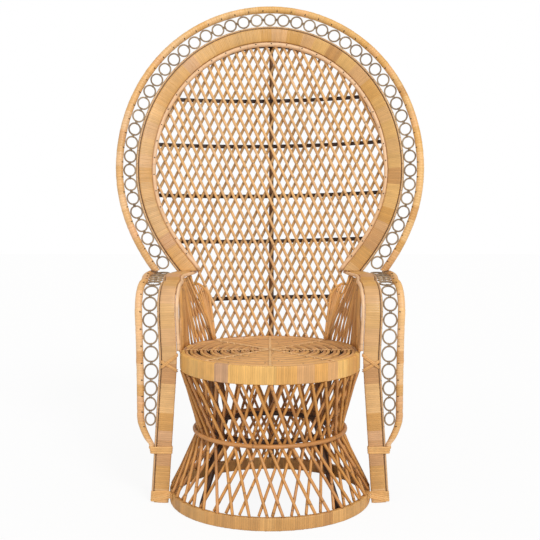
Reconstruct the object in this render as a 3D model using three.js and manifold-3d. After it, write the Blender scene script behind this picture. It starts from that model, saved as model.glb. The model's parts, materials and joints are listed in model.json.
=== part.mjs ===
// Rattan peacock chair: a round seat on an hourglass foot, under a tall fan back with arms.
// Millimetres, +Z up, the front towards -Y. The origin is on the floor under the middle.

import * as THREE from 'three';
import { mergeVertices } from 'three/addons/utils/BufferGeometryUtils.js';
import Module from 'manifold-3d';

const wasm = await Module();
wasm.setup();

// Fits between neighbours
const CLEARANCE = 0.3;
const FUSE_OVERLAP = 1;
const RING_CLEARANCE = 0.95;

// Seat
const SEAT_HEIGHT = 430;
const SEAT_RADIUS = 256;
const APRON_HEIGHT = 50;
const APRON_THICKNESS = 14;
const SEAT_POLE_DIAMETER = 9;
const COIL_PAIR_GAP = 1.5;
const COIL_TURN_WIDTH = 29;
const COIL_INNER_RADIUS = 24;
const COIL_CHORD_LENGTH = 80;
const RIB_DIAMETER = 12;
const RIB_HUB_RADIUS = 18;
const SEAT_FRAME_DIAMETER = 18;
const RIB_COUNT = 8;

// Hourglass foot
const FOOT_RADIUS = 287;
const FOOT_HOOP_HEIGHT = 36;
const FOOT_HOOP_THICKNESS = 14;
const WAIST_HEIGHT = 206;
const WAIST_RADIUS = 221;
const WAIST_RING_DIAMETER = 12;
const WAIST_HOOP_DIAMETER = 15;
const BASE_CANE_DIAMETER = 7;
const POST_DIAMETER = 16;
const BASE_CANE_COUNT = 40;
const BASE_SECTORS = 4;
const BASE_TWIST = THREE.MathUtils.degToRad(17);
const POST_TURN = THREE.MathUtils.degToRad(45);

// Shell of the back: it leans and is bowed towards the front at its sides
const BACK_BOW_RADIUS = 1000;
const CREASE_HALF_WIDTH = 168;
const BACK_CANE_DIAMETER = 8;
const BACK_CANE_BULGE = 1;
const CANE_LAYER_CLEARANCE = 0.45;
const BACK_DIAMOND_WIDTH = 44;
const BACK_LEAN = THREE.MathUtils.degToRad(9);
const BACK_CANE_TURN_EVERY = 4;
const BACK_CANE_TILT = THREE.MathUtils.degToRad(26);

// Line of the ring centres round the fan: sizes across, and up the lean from the seat
const FAN_HALF_WIDTH = 430;
const FAN_WIDEST_RISE = 507;
const FAN_TOP_RISE = 996;
const NECK_HALF_WIDTH = 285;
const NECK_RISE = 160;
const NECK_HANDLE_LENGTH = 30;
const WIDEST_HANDLE_LENGTH = 199;
const NECK_ANGLE = THREE.MathUtils.degToRad(66);
const FAN_STEPS = 16;
const FAN_RINGS_EACH_SIDE = 24;

// Border of the fan and the arms, from the rim inwards
const RIM_DIAMETER = 22;
const RING_CANE_DIAMETER = 5;
const RING_WIDTH = 39;
const RING_LENGTH_SHARE = 1.18;
const OUTER_MOULDING_WIDTH = 7;
const OUTER_MOULDING_THICKNESS = 7;
const BAND_WIDTH = 44;
const BAND_THICKNESS = 10;
const BAND_EDGE_BEVEL = 3;
const INNER_MOULDING_WIDTH = 10;
const INNER_MOULDING_THICKNESS = 8;
const FRAME_POLE_DIAMETER = 20;
const FRAME_POLE_INSET = 14;

// Spine and slats
const SPINE_DIAMETER = 15;
const SLAT_HEIGHT = 12;
const SLAT_THICKNESS = 6;
const SLAT_RISE_SHARES = [0.741, 0.596, 0.438, 0.296, 0.12];

// Arms and legs, along the middle of their band
const ARM_REAR_HEIGHT = 614;
const NECK_POLE_DROP_HEIGHT = 50;
const ARM_CORNER_HEIGHT = 600;
const ARM_CORNER_HALF_WIDTH = 286;
const ARM_CORNER_RADIUS = 75;
const LEG_FRONT_OFFSET = 56;
const KNEE_HEIGHT = 405;
const KNEE_LASHING_GAP = 4;
const RIM_END_HEIGHT = 152;
const RIM_CURL_HEIGHT = 85;
const LOWEST_RING_HEIGHT = 236;
const LOW_RING_WIDTH = 37;
const KNEE_RING_WIDTH = 45;
const EVEN_RING_HEIGHT = 520;
const PEEL_THICKNESS = 1.6;
const PEEL_WIDTH = 8;
const RIM_BINDING_TURNS = 5;
const CROSS_BINDING_HEIGHT = 24;
const SIDE_CANE_COUNT = 11;
const SIDE_CANE_LEAN_SHARE = 0.09;
const SIDE_CANE_SPANS = 3;
const ARM_STEPS = 4;

// How finely round things are cut into flats
const HOOP_FLATS = 40;
const POLE_SIDES = 6;
const WRAP_BEVEL_SHARE = 0.25;
const BEND_REACH_SHARE = 1 / 3;
const SOFT_BEND_SHARE = 0.45;
const RIM_CURL_STEPS = 4;
const OUTLINE_FOOT_STEPS = 4;
const RING_CHAINS = 3;
const CANE_SIDES = 3;
const COIL_SIDES = 4;
const RING_FLATS = 8;
const MITRE_REACH = 2;
const SLAT_STEPS = 12;
const COIL_LEAST_STEPS = 10;

const TAU = 2 * Math.PI;
const UP = new THREE.Vector3(0, 0, 1);
const chair = new THREE.Group();

const v3 = (x, y, z) => new THREE.Vector3(x, y, z);
const polar = (radius, angle, z) => v3(radius * Math.cos(angle), radius * Math.sin(angle), z);
const along = (point, direction, length) => point.clone().addScaledVector(direction, length);
const mix = (a, b, share) => a + (b - a) * share;
const mirrorX = (point) => v3(-point.x, point.y, point.z);
const count = (n) => [...Array(n).keys()];

// Materials
const rattan = (color, roughness) => new THREE.MeshStandardMaterial({ color, roughness, metalness: 0 });
const wrapMaterial = rattan(0xd2a15f, 0.5);
const poleMaterial = rattan(0xc99a62, 0.5);
const caneMaterial = rattan(0xc8935a, 0.55);
const ringMaterial = rattan(0x9a7b55, 0.6);
const darkMaterial = rattan(0x3b2416, 0.65);

// Closed skin over rings of points, all with the same count, with faces pointing out
function skin(rings, closed = false) {
  const sides = rings[0].length;
  const faces = [];
  const spans = closed ? rings.length : rings.length - 1;
  for (const i of count(spans)) {
    const here = i * sides;
    const there = ((i + 1) % rings.length) * sides;
    for (const k of count(sides)) {
      const next = (k + 1) % sides;
      faces.push([here + k, here + next, there + next], [here + k, there + next, there + k]);
    }
  }
  if (!closed) {
    const last = (rings.length - 1) * sides;
    for (const k of count(sides - 2)) {
      faces.push([0, k + 2, k + 1], [last, last + k + 1, last + k + 2]);
    }
  }
  const points = rings.flat();
  const volume = faces.reduce(
    (sum, [a, b, c]) => sum + points[a].dot(points[b].clone().cross(points[c])),
    0,
  );
  const outward = volume > 0 ? faces : faces.map(([a, b, c]) => [a, c, b]);
  const geometry = new THREE.BufferGeometry();
  geometry.setAttribute(
    'position',
    new THREE.Float32BufferAttribute(points.flatMap((p) => [p.x, p.y, p.z]), 3),
  );
  geometry.setIndex(outward.flat());
  return geometry;
}

// Round section as pairs across and up, the first point straight up
function roundSection(diameter, sides) {
  return count(sides).map((k) => {
    const angle = (TAU * k) / sides;
    return [(diameter / 2) * Math.sin(angle), (diameter / 2) * Math.cos(angle)];
  });
}

function boxSection(width, thickness) {
  return [
    [-width / 2, -thickness / 2],
    [width / 2, -thickness / 2],
    [width / 2, thickness / 2],
    [-width / 2, thickness / 2],
  ];
}

const direction = (from, to) => to.clone().sub(from).normalize();

// Rod of one section along points, with mitred corners whose outer tips are held in
function rod(points, section, up, closed = false) {
  const total = points.length;
  const steps = count(total).map((i) => direction(points[i], points[(i + 1) % total]));
  const planeAt = (i) => {
    if (!closed && i === 0) return steps[0];
    if (!closed && i === total - 1) return steps[total - 2];
    return steps[(i + total - 1) % total].clone().add(steps[i]).normalize();
  };
  const reach = MITRE_REACH * Math.max(...section.map(([a, b]) => Math.hypot(a, b)));
  const slide = (q, d, i) => {
    const plane = planeAt(i);
    return along(q, d, points[i].clone().sub(q).dot(plane) / d.dot(plane));
  };
  const held = (q, i) => {
    if (!closed && (i === 0 || i === total - 1)) return q.clone();
    const tip = steps[(i + total - 1) % total].clone().sub(steps[i]);
    if (tip.lengthSq() < Number.EPSILON) return q.clone();
    tip.normalize();
    const out = q.clone().sub(points[i]).dot(tip);
    return out > reach ? along(q, tip, reach - out) : q.clone();
  };
  const side = steps[0].clone().cross(up).normalize();
  const top = side.clone().cross(steps[0]);
  const ring = section.map(([a, b]) => along(along(points[0], side, a), top, b));
  let current = ring.map((q) => slide(q, steps[0], 0));
  const rings = [current.map((q) => held(q, 0))];
  for (const i of count(total - 1)) {
    current = current.map((q) => slide(q, steps[i], i + 1));
    rings.push(current.map((q) => held(q, i + 1)));
  }
  return skin(rings, closed);
}

const roundRod = (points, diameter, sides, up = UP) => rod(points, roundSection(diameter, sides), up);

function hoop(radius, z, diameter, sides, flats = HOOP_FLATS) {
  const points = count(flats).map((i) => polar(radius, (TAU * i) / flats, z));
  return rod(points, roundSection(diameter, sides), UP, true);
}

// Flat-sided band of wrapped peel round a circle
function wrappedHoop(outerRadius, thickness, bottom, height) {
  const bevel = thickness * WRAP_BEVEL_SHARE;
  const inner = outerRadius - thickness;
  const top = bottom + height;
  const profile = [
    [inner, bottom],
    [outerRadius, bottom],
    [outerRadius, top - bevel],
    [outerRadius - bevel, top],
    [inner, top],
    [inner, bottom],
  ].map(([r, z]) => new THREE.Vector2(r, z));
  return new THREE.LatheGeometry(profile, HOOP_FLATS).rotateX(Math.PI / 2);
}

// Manifold solids, used only to join
function solid(geometry) {
  const bare = geometry.clone();
  bare.deleteAttribute('normal');
  bare.deleteAttribute('uv');
  const merged = mergeVertices(bare, CLEARANCE / 100);
  return new wasm.Manifold(
    new wasm.Mesh({
      numProp: 3,
      vertProperties: new Float32Array(merged.attributes.position.array),
      triVerts: new Uint32Array(merged.index.array),
    }),
  );
}

function joined(geometries) {
  const union = geometries.map(solid).reduce((sum, piece) => sum.add(piece));
  const mesh = union.getMesh();
  const geometry = new THREE.BufferGeometry();
  geometry.setAttribute('position', new THREE.BufferAttribute(mesh.vertProperties, 3));
  geometry.setIndex(new THREE.BufferAttribute(mesh.triVerts, 1));
  return geometry;
}

function mirrored(geometry) {
  const copy = geometry.clone().scale(-1, 1, 1);
  const index = copy.index.array;
  for (let i = 0; i < index.length; i += 3) {
    [index[i + 1], index[i + 2]] = [index[i + 2], index[i + 1]];
  }
  return copy;
}

function add(name, geometry, material) {
  const mesh = new THREE.Mesh(geometry, material);
  mesh.name = name;
  chair.add(mesh);
  return mesh;
}

function addPair(name, rightGeometry, material) {
  add(`${name}_right`, rightGeometry, material);
  add(`${name}_left`, mirrored(rightGeometry), material);
}

// Least gap of a winding to itself, between its centre lines less its thickness
function leastGap(points, diameter, turnSpan) {
  let least = Infinity;
  for (const i of count(points.length)) {
    for (let j = i + turnSpan; j < points.length; j += 1) {
      least = Math.min(least, points[i].distanceTo(points[j]) - diameter);
    }
  }
  return least;
}

function printLeastGap(name, points, diameter, turnSpan) {
  console.log(`${name} least gap: ${leastGap(points, diameter, turnSpan).toFixed(2)} mm`);
}

// Shell surface: across, and up the lean from the seat
const shellRadius = SEAT_RADIUS - BACK_CANE_DIAMETER - CLEARANCE;
const creaseDrop = shellRadius - Math.sqrt(shellRadius ** 2 - CREASE_HALF_WIDTH ** 2);
const seatBow = (creaseDrop * Math.cos(BACK_LEAN)) / CREASE_HALF_WIDTH ** 2;
const fanBow = 1 / (2 * BACK_BOW_RADIUS);
const bowEndRise = (ARM_REAR_HEIGHT - SEAT_HEIGHT) / Math.cos(BACK_LEAN);

function shellBow(rise) {
  const left = THREE.MathUtils.clamp(1 - rise / bowEndRise, 0, 1);
  return mix(fanBow, seatBow, left ** 2);
}

function shellPoint(across, rise, out = 0) {
  const forward = shellBow(rise) * across ** 2;
  const lean = v3(0, Math.sin(BACK_LEAN), Math.cos(BACK_LEAN));
  const front = v3(0, -Math.cos(BACK_LEAN), Math.sin(BACK_LEAN));
  const point = along(along(v3(across, shellRadius, SEAT_HEIGHT), lean, rise), front, forward);
  return out ? along(point, shellNormal(across, rise), out) : point;
}

const slope = (before, after) => after.sub(before).divideScalar(2 * CLEARANCE);

const shellAcross = (across, rise) =>
  slope(shellPoint(across - CLEARANCE, rise), shellPoint(across + CLEARANCE, rise));

const shellRise = (across, rise) =>
  slope(shellPoint(across, rise - CLEARANCE), shellPoint(across, rise + CLEARANCE));

function shellNormal(across, rise) {
  return shellAcross(across, rise).cross(shellRise(across, rise)).normalize();
}

// Rise at which the shell meets a height
const riseAtHeight = (across, height) =>
  (height - SEAT_HEIGHT - shellBow(0) * across ** 2 * Math.sin(BACK_LEAN)) / Math.cos(BACK_LEAN);

// Layers of the back and the border, out from the shell surface
const caneOut = BACK_CANE_DIAMETER / 2 + CANE_LAYER_CLEARANCE;
const shellBack = -(caneOut + BACK_CANE_DIAMETER / 2 + CANE_LAYER_CLEARANCE);
const borderBack = BACK_CANE_BULGE - shellBack;
const borderMiddle = borderBack + BAND_THICKNESS / 2;
const poleOut = shellBack - FRAME_POLE_DIAMETER / 2;

// Arm line on the right: from the floor up the leg, over the corner and back to the fan
const bandFrontOut = borderBack + BAND_THICKNESS;
const legLineY = -LEG_FRONT_OFFSET + bandFrontOut;
const halfBand = BAND_WIDTH / 2;
const innerMouldingEdge = halfBand + CLEARANCE + INNER_MOULDING_WIDTH;
const outerMouldingEdge = halfBand + CLEARANCE + OUTER_MOULDING_WIDTH;
const chordHalf = (radius, y) => Math.sqrt(radius ** 2 - y ** 2);
const bandRearY = legLineY - borderBack;
const kneeX = chordHalf(SEAT_RADIUS, bandRearY) + KNEE_LASHING_GAP + halfBand;
const legClearHeight = FOOT_HOOP_HEIGHT + 2 * BASE_CANE_DIAMETER;
const hoopSideX = chordHalf(FOOT_RADIUS, bandRearY) + CLEARANCE + halfBand;
const footX =
  (hoopSideX - (kneeX * legClearHeight) / KNEE_HEIGHT) / (1 - legClearHeight / KNEE_HEIGHT);

// Fan line of ring centres on the right half, from the neck to the top, as across and rise
function fanHalfLine() {
  const neck = new THREE.Vector2(NECK_HALF_WIDTH, NECK_RISE);
  const widest = new THREE.Vector2(FAN_HALF_WIDTH, FAN_WIDEST_RISE);
  const neckHandle = new THREE.Vector2(
    NECK_HALF_WIDTH + NECK_HANDLE_LENGTH * Math.cos(NECK_ANGLE),
    NECK_RISE + NECK_HANDLE_LENGTH * Math.sin(NECK_ANGLE),
  );
  const widestHandle = new THREE.Vector2(FAN_HALF_WIDTH, FAN_WIDEST_RISE - WIDEST_HANDLE_LENGTH);
  const lower = new THREE.CubicBezierCurve(neck, neckHandle, widestHandle, widest);
  const height = FAN_TOP_RISE - FAN_WIDEST_RISE;
  const upper = new THREE.EllipseCurve(0, FAN_WIDEST_RISE, FAN_HALF_WIDTH, height, 0, Math.PI / 2);
  const path = new THREE.CurvePath();
  path.add(lower);
  path.add(upper);
  return path;
}

const fanPath = fanHalfLine();
const fanLength = fanPath.getLength();

// Frame of the fan line at a length from the neck, which may run past the top to the left half
function fanFrame(length) {
  const past = length > fanLength;
  const share = (past ? 2 * fanLength - length : length) / fanLength;
  const spot = fanPath.getPointAt(THREE.MathUtils.clamp(share, 0, 1));
  const step = CLEARANCE / fanLength;
  const before = fanPath.getPointAt(THREE.MathUtils.clamp(share - step, 0, 1));
  const after = fanPath.getPointAt(THREE.MathUtils.clamp(share + step, 0, 1));
  const across = shellAcross(spot.x, spot.y);
  const rise = shellRise(spot.x, spot.y);
  const heading = after.clone().sub(before);
  const run = across.clone().multiplyScalar(heading.x);
  const tangent = run.addScaledVector(rise, heading.y).normalize();
  const normal = shellNormal(spot.x, spot.y);
  const outward = tangent.clone().cross(normal).normalize();
  const perAcross = outward.dot(across) / across.lengthSq();
  const perRise = outward.dot(rise) / rise.lengthSq();
  const side = past ? -1 : 1;
  const place = (offset, out = 0) => {
    const point = shellPoint(spot.x + offset * perAcross, spot.y + offset * perRise, out);
    return past ? mirrorX(point) : point;
  };
  const flat = (offset) => [side * (spot.x + offset * perAcross), spot.y + offset * perRise];
  const turn = (vector) => (past ? mirrorX(vector) : vector);
  return {
    place,
    flat,
    tangent: past ? mirrorX(tangent).negate() : tangent,
    normal: turn(normal),
    outward: turn(outward),
  };
}

// Rear plane of the arms and the plane of their tops, where the fan stands on them
const neckFrameLength = lengthAtHeight(ARM_REAR_HEIGHT);
const neckFrame = fanFrame(neckFrameLength);

function lengthAtHeight(height) {
  let low = 0;
  let high = fanLength / 2;
  while (high - low > CLEARANCE / 10) {
    const middle = (low + high) / 2;
    if (fanFrame(middle).place(0).z < height) low = middle;
    else high = middle;
  }
  return low;
}

const topClear = borderMiddle + RIM_DIAMETER / 2 + CLEARANCE;
const ringSpan = fanLength - lengthAtHeight(ARM_REAR_HEIGHT + topClear);
const ringPitch = ringSpan / (FAN_RINGS_EACH_SIDE + 0.5);
const ringSpace = RING_WIDTH + 2 * RING_CLEARANCE;
const ringLineOffset = outerMouldingEdge + ringSpace / 2;
const rimOffset = outerMouldingEdge + ringSpace + RIM_DIAMETER / 2;

const neckBand = neckFrame.place(-ringLineOffset);
const rearNormal = neckFrame.normal.clone().setZ(0).normalize().negate();
const rearPlane = {
  point: along(neckBand, rearNormal, -shellBack - CLEARANCE),
  normal: rearNormal,
};

// Polyline with round corners
function rounded(corners, radius, steps) {
  const points = [corners[0]];
  for (let i = 1; i < corners.length - 1; i += 1) {
    const back = direction(corners[i], corners[i - 1]);
    const ahead = direction(corners[i], corners[i + 1]);
    const half = back.angleTo(ahead) / 2;
    const room = corners[i].distanceTo(corners[i + 1]) * BEND_REACH_SHARE;
    const cut = Math.min(radius / Math.tan(half), room);
    const start = along(corners[i], back, cut);
    const end = along(corners[i], ahead, cut);
    const centre = along(corners[i], back.clone().add(ahead).normalize(), cut / Math.cos(half));
    const reach = centre.distanceTo(start);
    const bends = half < Math.PI * SOFT_BEND_SHARE ? steps : 1;
    for (const k of count(bends + 1)) {
      const chord = start.clone().lerp(end, k / bends);
      const bulge = direction(centre, chord);
      points.push(bends > 1 ? along(centre, bulge, reach) : chord);
    }
  }
  points.push(corners[corners.length - 1]);
  return points;
}

const armCorners = [
  v3(footX, legLineY, 0),
  v3(kneeX, legLineY, KNEE_HEIGHT),
  v3(ARM_CORNER_HALF_WIDTH, legLineY, ARM_CORNER_HEIGHT),
  v3(neckBand.x, neckBand.y, ARM_REAR_HEIGHT),
];
const armPoints = rounded(armCorners, ARM_CORNER_RADIUS, ARM_STEPS);
const armLengths = armPoints.map((_, i) =>
  armPoints.slice(0, i).reduce((sum, p, k) => sum + p.distanceTo(armPoints[k + 1]), 0),
);
const armLength = armLengths[armLengths.length - 1];

// Frame across a heading of the arm line
function armCrossing(spot, tangent) {
  const normal = v3(1, 0, 0).cross(tangent).normalize();
  const outward = tangent.clone().cross(normal);
  const place = (offset, out = 0) => along(along(spot, outward, offset), normal, out);
  return { place, tangent, normal, outward };
}

const armHeadings = armPoints.slice(1).map((point, k) => direction(armPoints[k], point));
const armCrossings = armPoints.map((point, k) => {
  const before = armHeadings[Math.max(k - 1, 0)];
  const after = armHeadings[Math.min(k, armHeadings.length - 1)];
  return armCrossing(point, before.clone().add(after).normalize());
});

// Frame of the arm line at a length from the floor
function armFrame(length) {
  let i = 0;
  while (i < armHeadings.length - 1 && armLengths[i + 1] <= length) i += 1;
  const share = (length - armLengths[i]) / (armLengths[i + 1] - armLengths[i]);
  const [low, high] = [armCrossings[i], armCrossings[i + 1]];
  if (share === 0) return low;
  if (share === 1) return high;
  const place = (offset, out = 0) => low.place(offset, out).lerp(high.place(offset, out), share);
  return { ...armCrossing(place(0), armHeadings[i]), place };
}

function armLengthAtHeight(height) {
  let i = 0;
  while (armPoints[i + 1].z < height) i += 1;
  const share = (height - armPoints[i].z) / (armPoints[i + 1].z - armPoints[i].z);
  return mix(armLengths[i], armLengths[i + 1], share);
}

// Points of a ring slid along a direction on to a plane
function slidTo(plane, ring, heading) {
  return ring.map((p) => {
    const gap = plane.point.clone().sub(p).dot(plane.normal);
    return along(p, heading, gap / heading.dot(plane.normal));
  });
}

// Strip of the border through frames, with a section of offsets and outs
function strip(frames, section, startPlane, endPlane) {
  const rings = frames.map((frame) => section.map(([offset, out]) => frame.place(offset, out)));
  const last = rings.length - 1;
  if (startPlane) rings[0] = slidTo(startPlane, rings[0], frames[0].tangent);
  if (endPlane) rings[last] = slidTo(endPlane, rings[last], frames[last].tangent);
  return skin(rings);
}

const fanFrames = count(2 * FAN_STEPS + 1).map((i) =>
  fanFrame(mix(neckFrameLength, 2 * fanLength - neckFrameLength, i / (2 * FAN_STEPS))),
);

// Plane just over the arm's top at a height out of the arm line, where a fan strip ends
function armTopPlane(out, left) {
  const frame = armFrame(armLength);
  const plane = { point: frame.place(0, out + CLEARANCE), normal: frame.normal };
  return left ? { point: mirrorX(plane.point), normal: mirrorX(plane.normal) } : plane;
}

function fanStrip(section) {
  const shifted = section.map(([offset, out]) => [offset - ringLineOffset, out]);
  const top = Math.max(bandFrontOut, ...section.map(([, out]) => out));
  return strip(fanFrames, shifted, armTopPlane(top, false), armTopPlane(top, true));
}

const floorPlane = { point: v3(0, 0, 0), normal: UP };
const seatPlane = { point: v3(0, 0, SEAT_HEIGHT + CLEARANCE), normal: UP };

function armStrip(section, startPlane = floorPlane) {
  const from = armLengthAtHeight(startPlane.point.z);
  const lengths = armLengths.filter((length) => length > from);
  return strip([from, ...lengths].map(armFrame), section, startPlane, rearPlane);
}

// Sections of the border, measured from the middle of its band
const bandSection = [
  [-halfBand, borderBack],
  [halfBand, borderBack],
  [halfBand, borderBack + BAND_THICKNESS - BAND_EDGE_BEVEL],
  [halfBand - BAND_EDGE_BEVEL, borderBack + BAND_THICKNESS],
  [-halfBand + BAND_EDGE_BEVEL, borderBack + BAND_THICKNESS],
  [-halfBand, borderBack + BAND_THICKNESS - BAND_EDGE_BEVEL],
];
const outerMouldingSection = [
  [halfBand + CLEARANCE, borderBack],
  [outerMouldingEdge, borderBack],
  [outerMouldingEdge, borderBack + OUTER_MOULDING_THICKNESS],
  [halfBand + CLEARANCE, borderBack + OUTER_MOULDING_THICKNESS],
];
const innerMouldingSection = [
  [-innerMouldingEdge, borderBack],
  [-halfBand - CLEARANCE, borderBack],
  [-halfBand - CLEARANCE, borderBack + INNER_MOULDING_THICKNESS],
  [-innerMouldingEdge, borderBack + INNER_MOULDING_THICKNESS],
];
const rimSection = roundSection(RIM_DIAMETER, POLE_SIDES).map(([across, up]) => [
  rimOffset + across,
  borderMiddle + up,
]);
const poleSection = roundSection(FRAME_POLE_DIAMETER, POLE_SIDES).map(([across, up]) => [
  across,
  poleOut + up,
]);

// One oval ring of cane from knot to knot, with flats where it touches what is round it
function caneRing(start, end, facing, width) {
  const tangent = direction(start, end);
  const outward = tangent.clone().cross(facing).normalize();
  const thick = RING_CANE_DIAMETER / 2;
  const outer = (start.distanceTo(end) + FUSE_OVERLAP) / 2 / Math.cos(Math.PI / RING_FLATS);
  const ring = new THREE.TorusGeometry(outer - thick, thick, CANE_SIDES, RING_FLATS);
  ring.rotateZ(Math.PI / RING_FLATS);
  ring.scale(width / (start.distanceTo(end) + FUSE_OVERLAP), 1, 1);
  const basis = new THREE.Matrix4().makeBasis(outward, tangent, outward.clone().cross(tangent));
  return ring.applyMatrix4(basis.setPosition(start.clone().lerp(end, 0.5)));
}

// Chain of fan rings from the first to the last, its ends clear of the next chains
function fanRings(first, last) {
  const knots = count(last - first + 2).map((k) => fanFrame(fanLength - (first + k - 0.5) * ringPitch));
  const points = knots.map((frame) => frame.place(0, borderMiddle));
  const drawIn = FUSE_OVERLAP / 2 + CLEARANCE;
  const end = points.length - 1;
  points[0] = along(points[0], direction(points[0], points[1]), drawIn);
  points[end] = along(points[end], direction(points[end], points[end - 1]), drawIn);
  const rings = knots.slice(1).map((frame, k) =>
    caneRing(points[k], points[k + 1], frame.normal, RING_WIDTH),
  );
  return joined(rings);
}

// Room for a ring between the outer moulding and the rim, at a length up the arm line
function armRingSpace(length) {
  const low = armLengthAtHeight(RIM_END_HEIGHT + RIM_CURL_HEIGHT);
  const knee = armLengthAtHeight(KNEE_HEIGHT);
  const even = armLengthAtHeight(EVEN_RING_HEIGHT);
  const belowKnee = THREE.MathUtils.clamp((length - low) / (knee - low), 0, 1);
  const aboveKnee = THREE.MathUtils.clamp((length - knee) / (even - knee), 0, 1);
  const space = mix(mix(LOW_RING_WIDTH, KNEE_RING_WIDTH, belowKnee), ringSpace, aboveKnee);
  const end = armLengthAtHeight(RIM_END_HEIGHT);
  const curl = THREE.MathUtils.clamp((length - end) / (low - end), 0, 1);
  return space * Math.sin((curl * Math.PI) / 2);
}

// Chain of rings up the arm line, each from one knot on the line to the next
function armRings() {
  const rings = [];
  const offset = (length) => outerMouldingEdge + armRingSpace(length) / 2;
  const knot = (length) => armFrame(length).place(offset(length), borderMiddle);
  const width = (length) => armRingSpace(length) - 2 * RING_CLEARANCE;
  const chord = (length) => width(length) * RING_LENGTH_SHARE - FUSE_OVERLAP;
  const stop = armLength - RING_CANE_DIAMETER - CLEARANCE;
  let from = armLengthAtHeight(LOWEST_RING_HEIGHT) - LOW_RING_WIDTH / 2;
  let to = from + chord(from);
  while (to < stop) {
    const end = knot(to);
    const middle = (from + to) / 2;
    rings.push(caneRing(knot(from), end, armFrame(middle).normal, width(middle)));
    from = to;
    while (knot(to).distanceTo(end) < chord((from + to) / 2)) to += CLEARANCE / 10;
  }
  return joined(rings);
}

function armRim() {
  const end = armLengthAtHeight(RIM_END_HEIGHT);
  const curl = armLengthAtHeight(RIM_END_HEIGHT + RIM_CURL_HEIGHT);
  const bends = count(RIM_CURL_STEPS).map((i) => mix(end, curl, i / RIM_CURL_STEPS));
  const lengths = [...bends, curl, ...armLengths.filter((length) => length > curl)];
  const frames = lengths.map((length) => {
    const frame = armFrame(length);
    const shift = outerMouldingEdge + armRingSpace(length) + RIM_DIAMETER / 2 - rimOffset;
    return { ...frame, place: (offset, out) => frame.place(offset + shift, out) };
  });
  return strip(frames, rimSection, null, rearPlane);
}

// Peel turns that bind the rim's end to the leg
function rimBinding() {
  const frame = armFrame(armLengthAtHeight(RIM_END_HEIGHT));
  const skinOut = CLEARANCE + PEEL_THICKNESS / 2;
  const rimEdge = outerMouldingEdge + armRingSpace(armLengthAtHeight(RIM_END_HEIGHT)) + RIM_DIAMETER;
  const height = RIM_BINDING_TURNS * PEEL_WIDTH;
  const lift = armRingSpace(armLengthAtHeight(RIM_END_HEIGHT + height / 2));
  const inner = -halfBand - skinOut;
  const outer = rimEdge + lift + skinOut;
  const front = borderMiddle + RIM_DIAMETER / 2 + skinOut;
  const rear = poleOut - FRAME_POLE_DIAMETER / 2 - skinOut;
  const corners = [
    [inner, rear],
    [outer, rear],
    [outer, front],
    [inner, front],
  ].map(([offset, out]) => frame.place(offset, out));
  return rod(corners, boxSection(PEEL_THICKNESS, height), frame.tangent, true);
}

// Crossed peel straps on the leg's front beside the seat
function crossBinding() {
  const frame = armFrame(armLengthAtHeight(SEAT_HEIGHT - APRON_HEIGHT / 2));
  const skinOut = CLEARANCE + PEEL_THICKNESS / 2;
  const front = bandFrontOut + skinOut;
  const straps = [-1, 1].map((turn) => {
    const rise = (turn * (CROSS_BINDING_HEIGHT - PEEL_WIDTH)) / 2;
    const ends = [-1, 1].map((side) =>
      along(frame.place(side * halfBand, front), frame.tangent, side * rise),
    );
    return rod(ends, boxSection(PEEL_WIDTH, PEEL_THICKNESS), frame.normal);
  });
  return joined(straps);
}

// Side panel surface under the arm: a share from the front to the crease, and one upwards
const panelFoot = SEAT_HEIGHT + 3 * CLEARANCE + BACK_CANE_DIAMETER / 2;
const panelFrontAngle = Math.asin(-(FRAME_POLE_DIAMETER + CLEARANCE) / shellRadius);
const panelRearAngle = Math.acos(CREASE_HALF_WIDTH / shellRadius) - BACK_CANE_DIAMETER / shellRadius;
const panelTopFront = armLengths[armLengths.length - 3];
const panelTopRear = armLength - FRAME_POLE_DIAMETER - BACK_CANE_DIAMETER;
const panelOut = BACK_CANE_DIAMETER / 2 + CLEARANCE;
const panelTopOffset = -halfBand - CLEARANCE - BACK_CANE_DIAMETER / 2;

function panelPoint(share, rise) {
  const bottom = polar(shellRadius, mix(panelFrontAngle, panelRearAngle, share), panelFoot);
  const frame = armFrame(mix(panelTopFront, panelTopRear, share));
  const top = frame.place(panelTopOffset, borderBack - BACK_CANE_DIAMETER);
  return bottom.lerp(top, rise);
}

function panelCanes(layer) {
  const step = CLEARANCE / BAND_WIDTH;
  const outAt = (share, rise) => {
    const acrossStep = panelPoint(share + step, rise).sub(panelPoint(share, rise));
    const riseStep = panelPoint(share, rise + step).sub(panelPoint(share, rise));
    return acrossStep.cross(riseStep).normalize();
  };
  const points = [];
  for (const i of count(SIDE_CANE_COUNT)) {
    const bottomShare = mix(SIDE_CANE_LEAN_SHARE, 1 - SIDE_CANE_LEAN_SHARE, i / (SIDE_CANE_COUNT - 1));
    for (const k of count(SIDE_CANE_SPANS + 1)) {
      const up = i % 2 ? 1 - k / SIDE_CANE_SPANS : k / SIDE_CANE_SPANS;
      const share = bottomShare + layer * SIDE_CANE_LEAN_SHARE * (up * 2 - 1);
      points.push(along(panelPoint(share, up), outAt(share, up), layer * panelOut));
    }
  }
  printLeastGap('side canes', points, BACK_CANE_DIAMETER, 2);
  const apex = outAt(SIDE_CANE_LEAN_SHARE, 0).multiplyScalar(-layer);
  return roundRod(points, BACK_CANE_DIAMETER, CANE_SIDES, apex);
}

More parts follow.
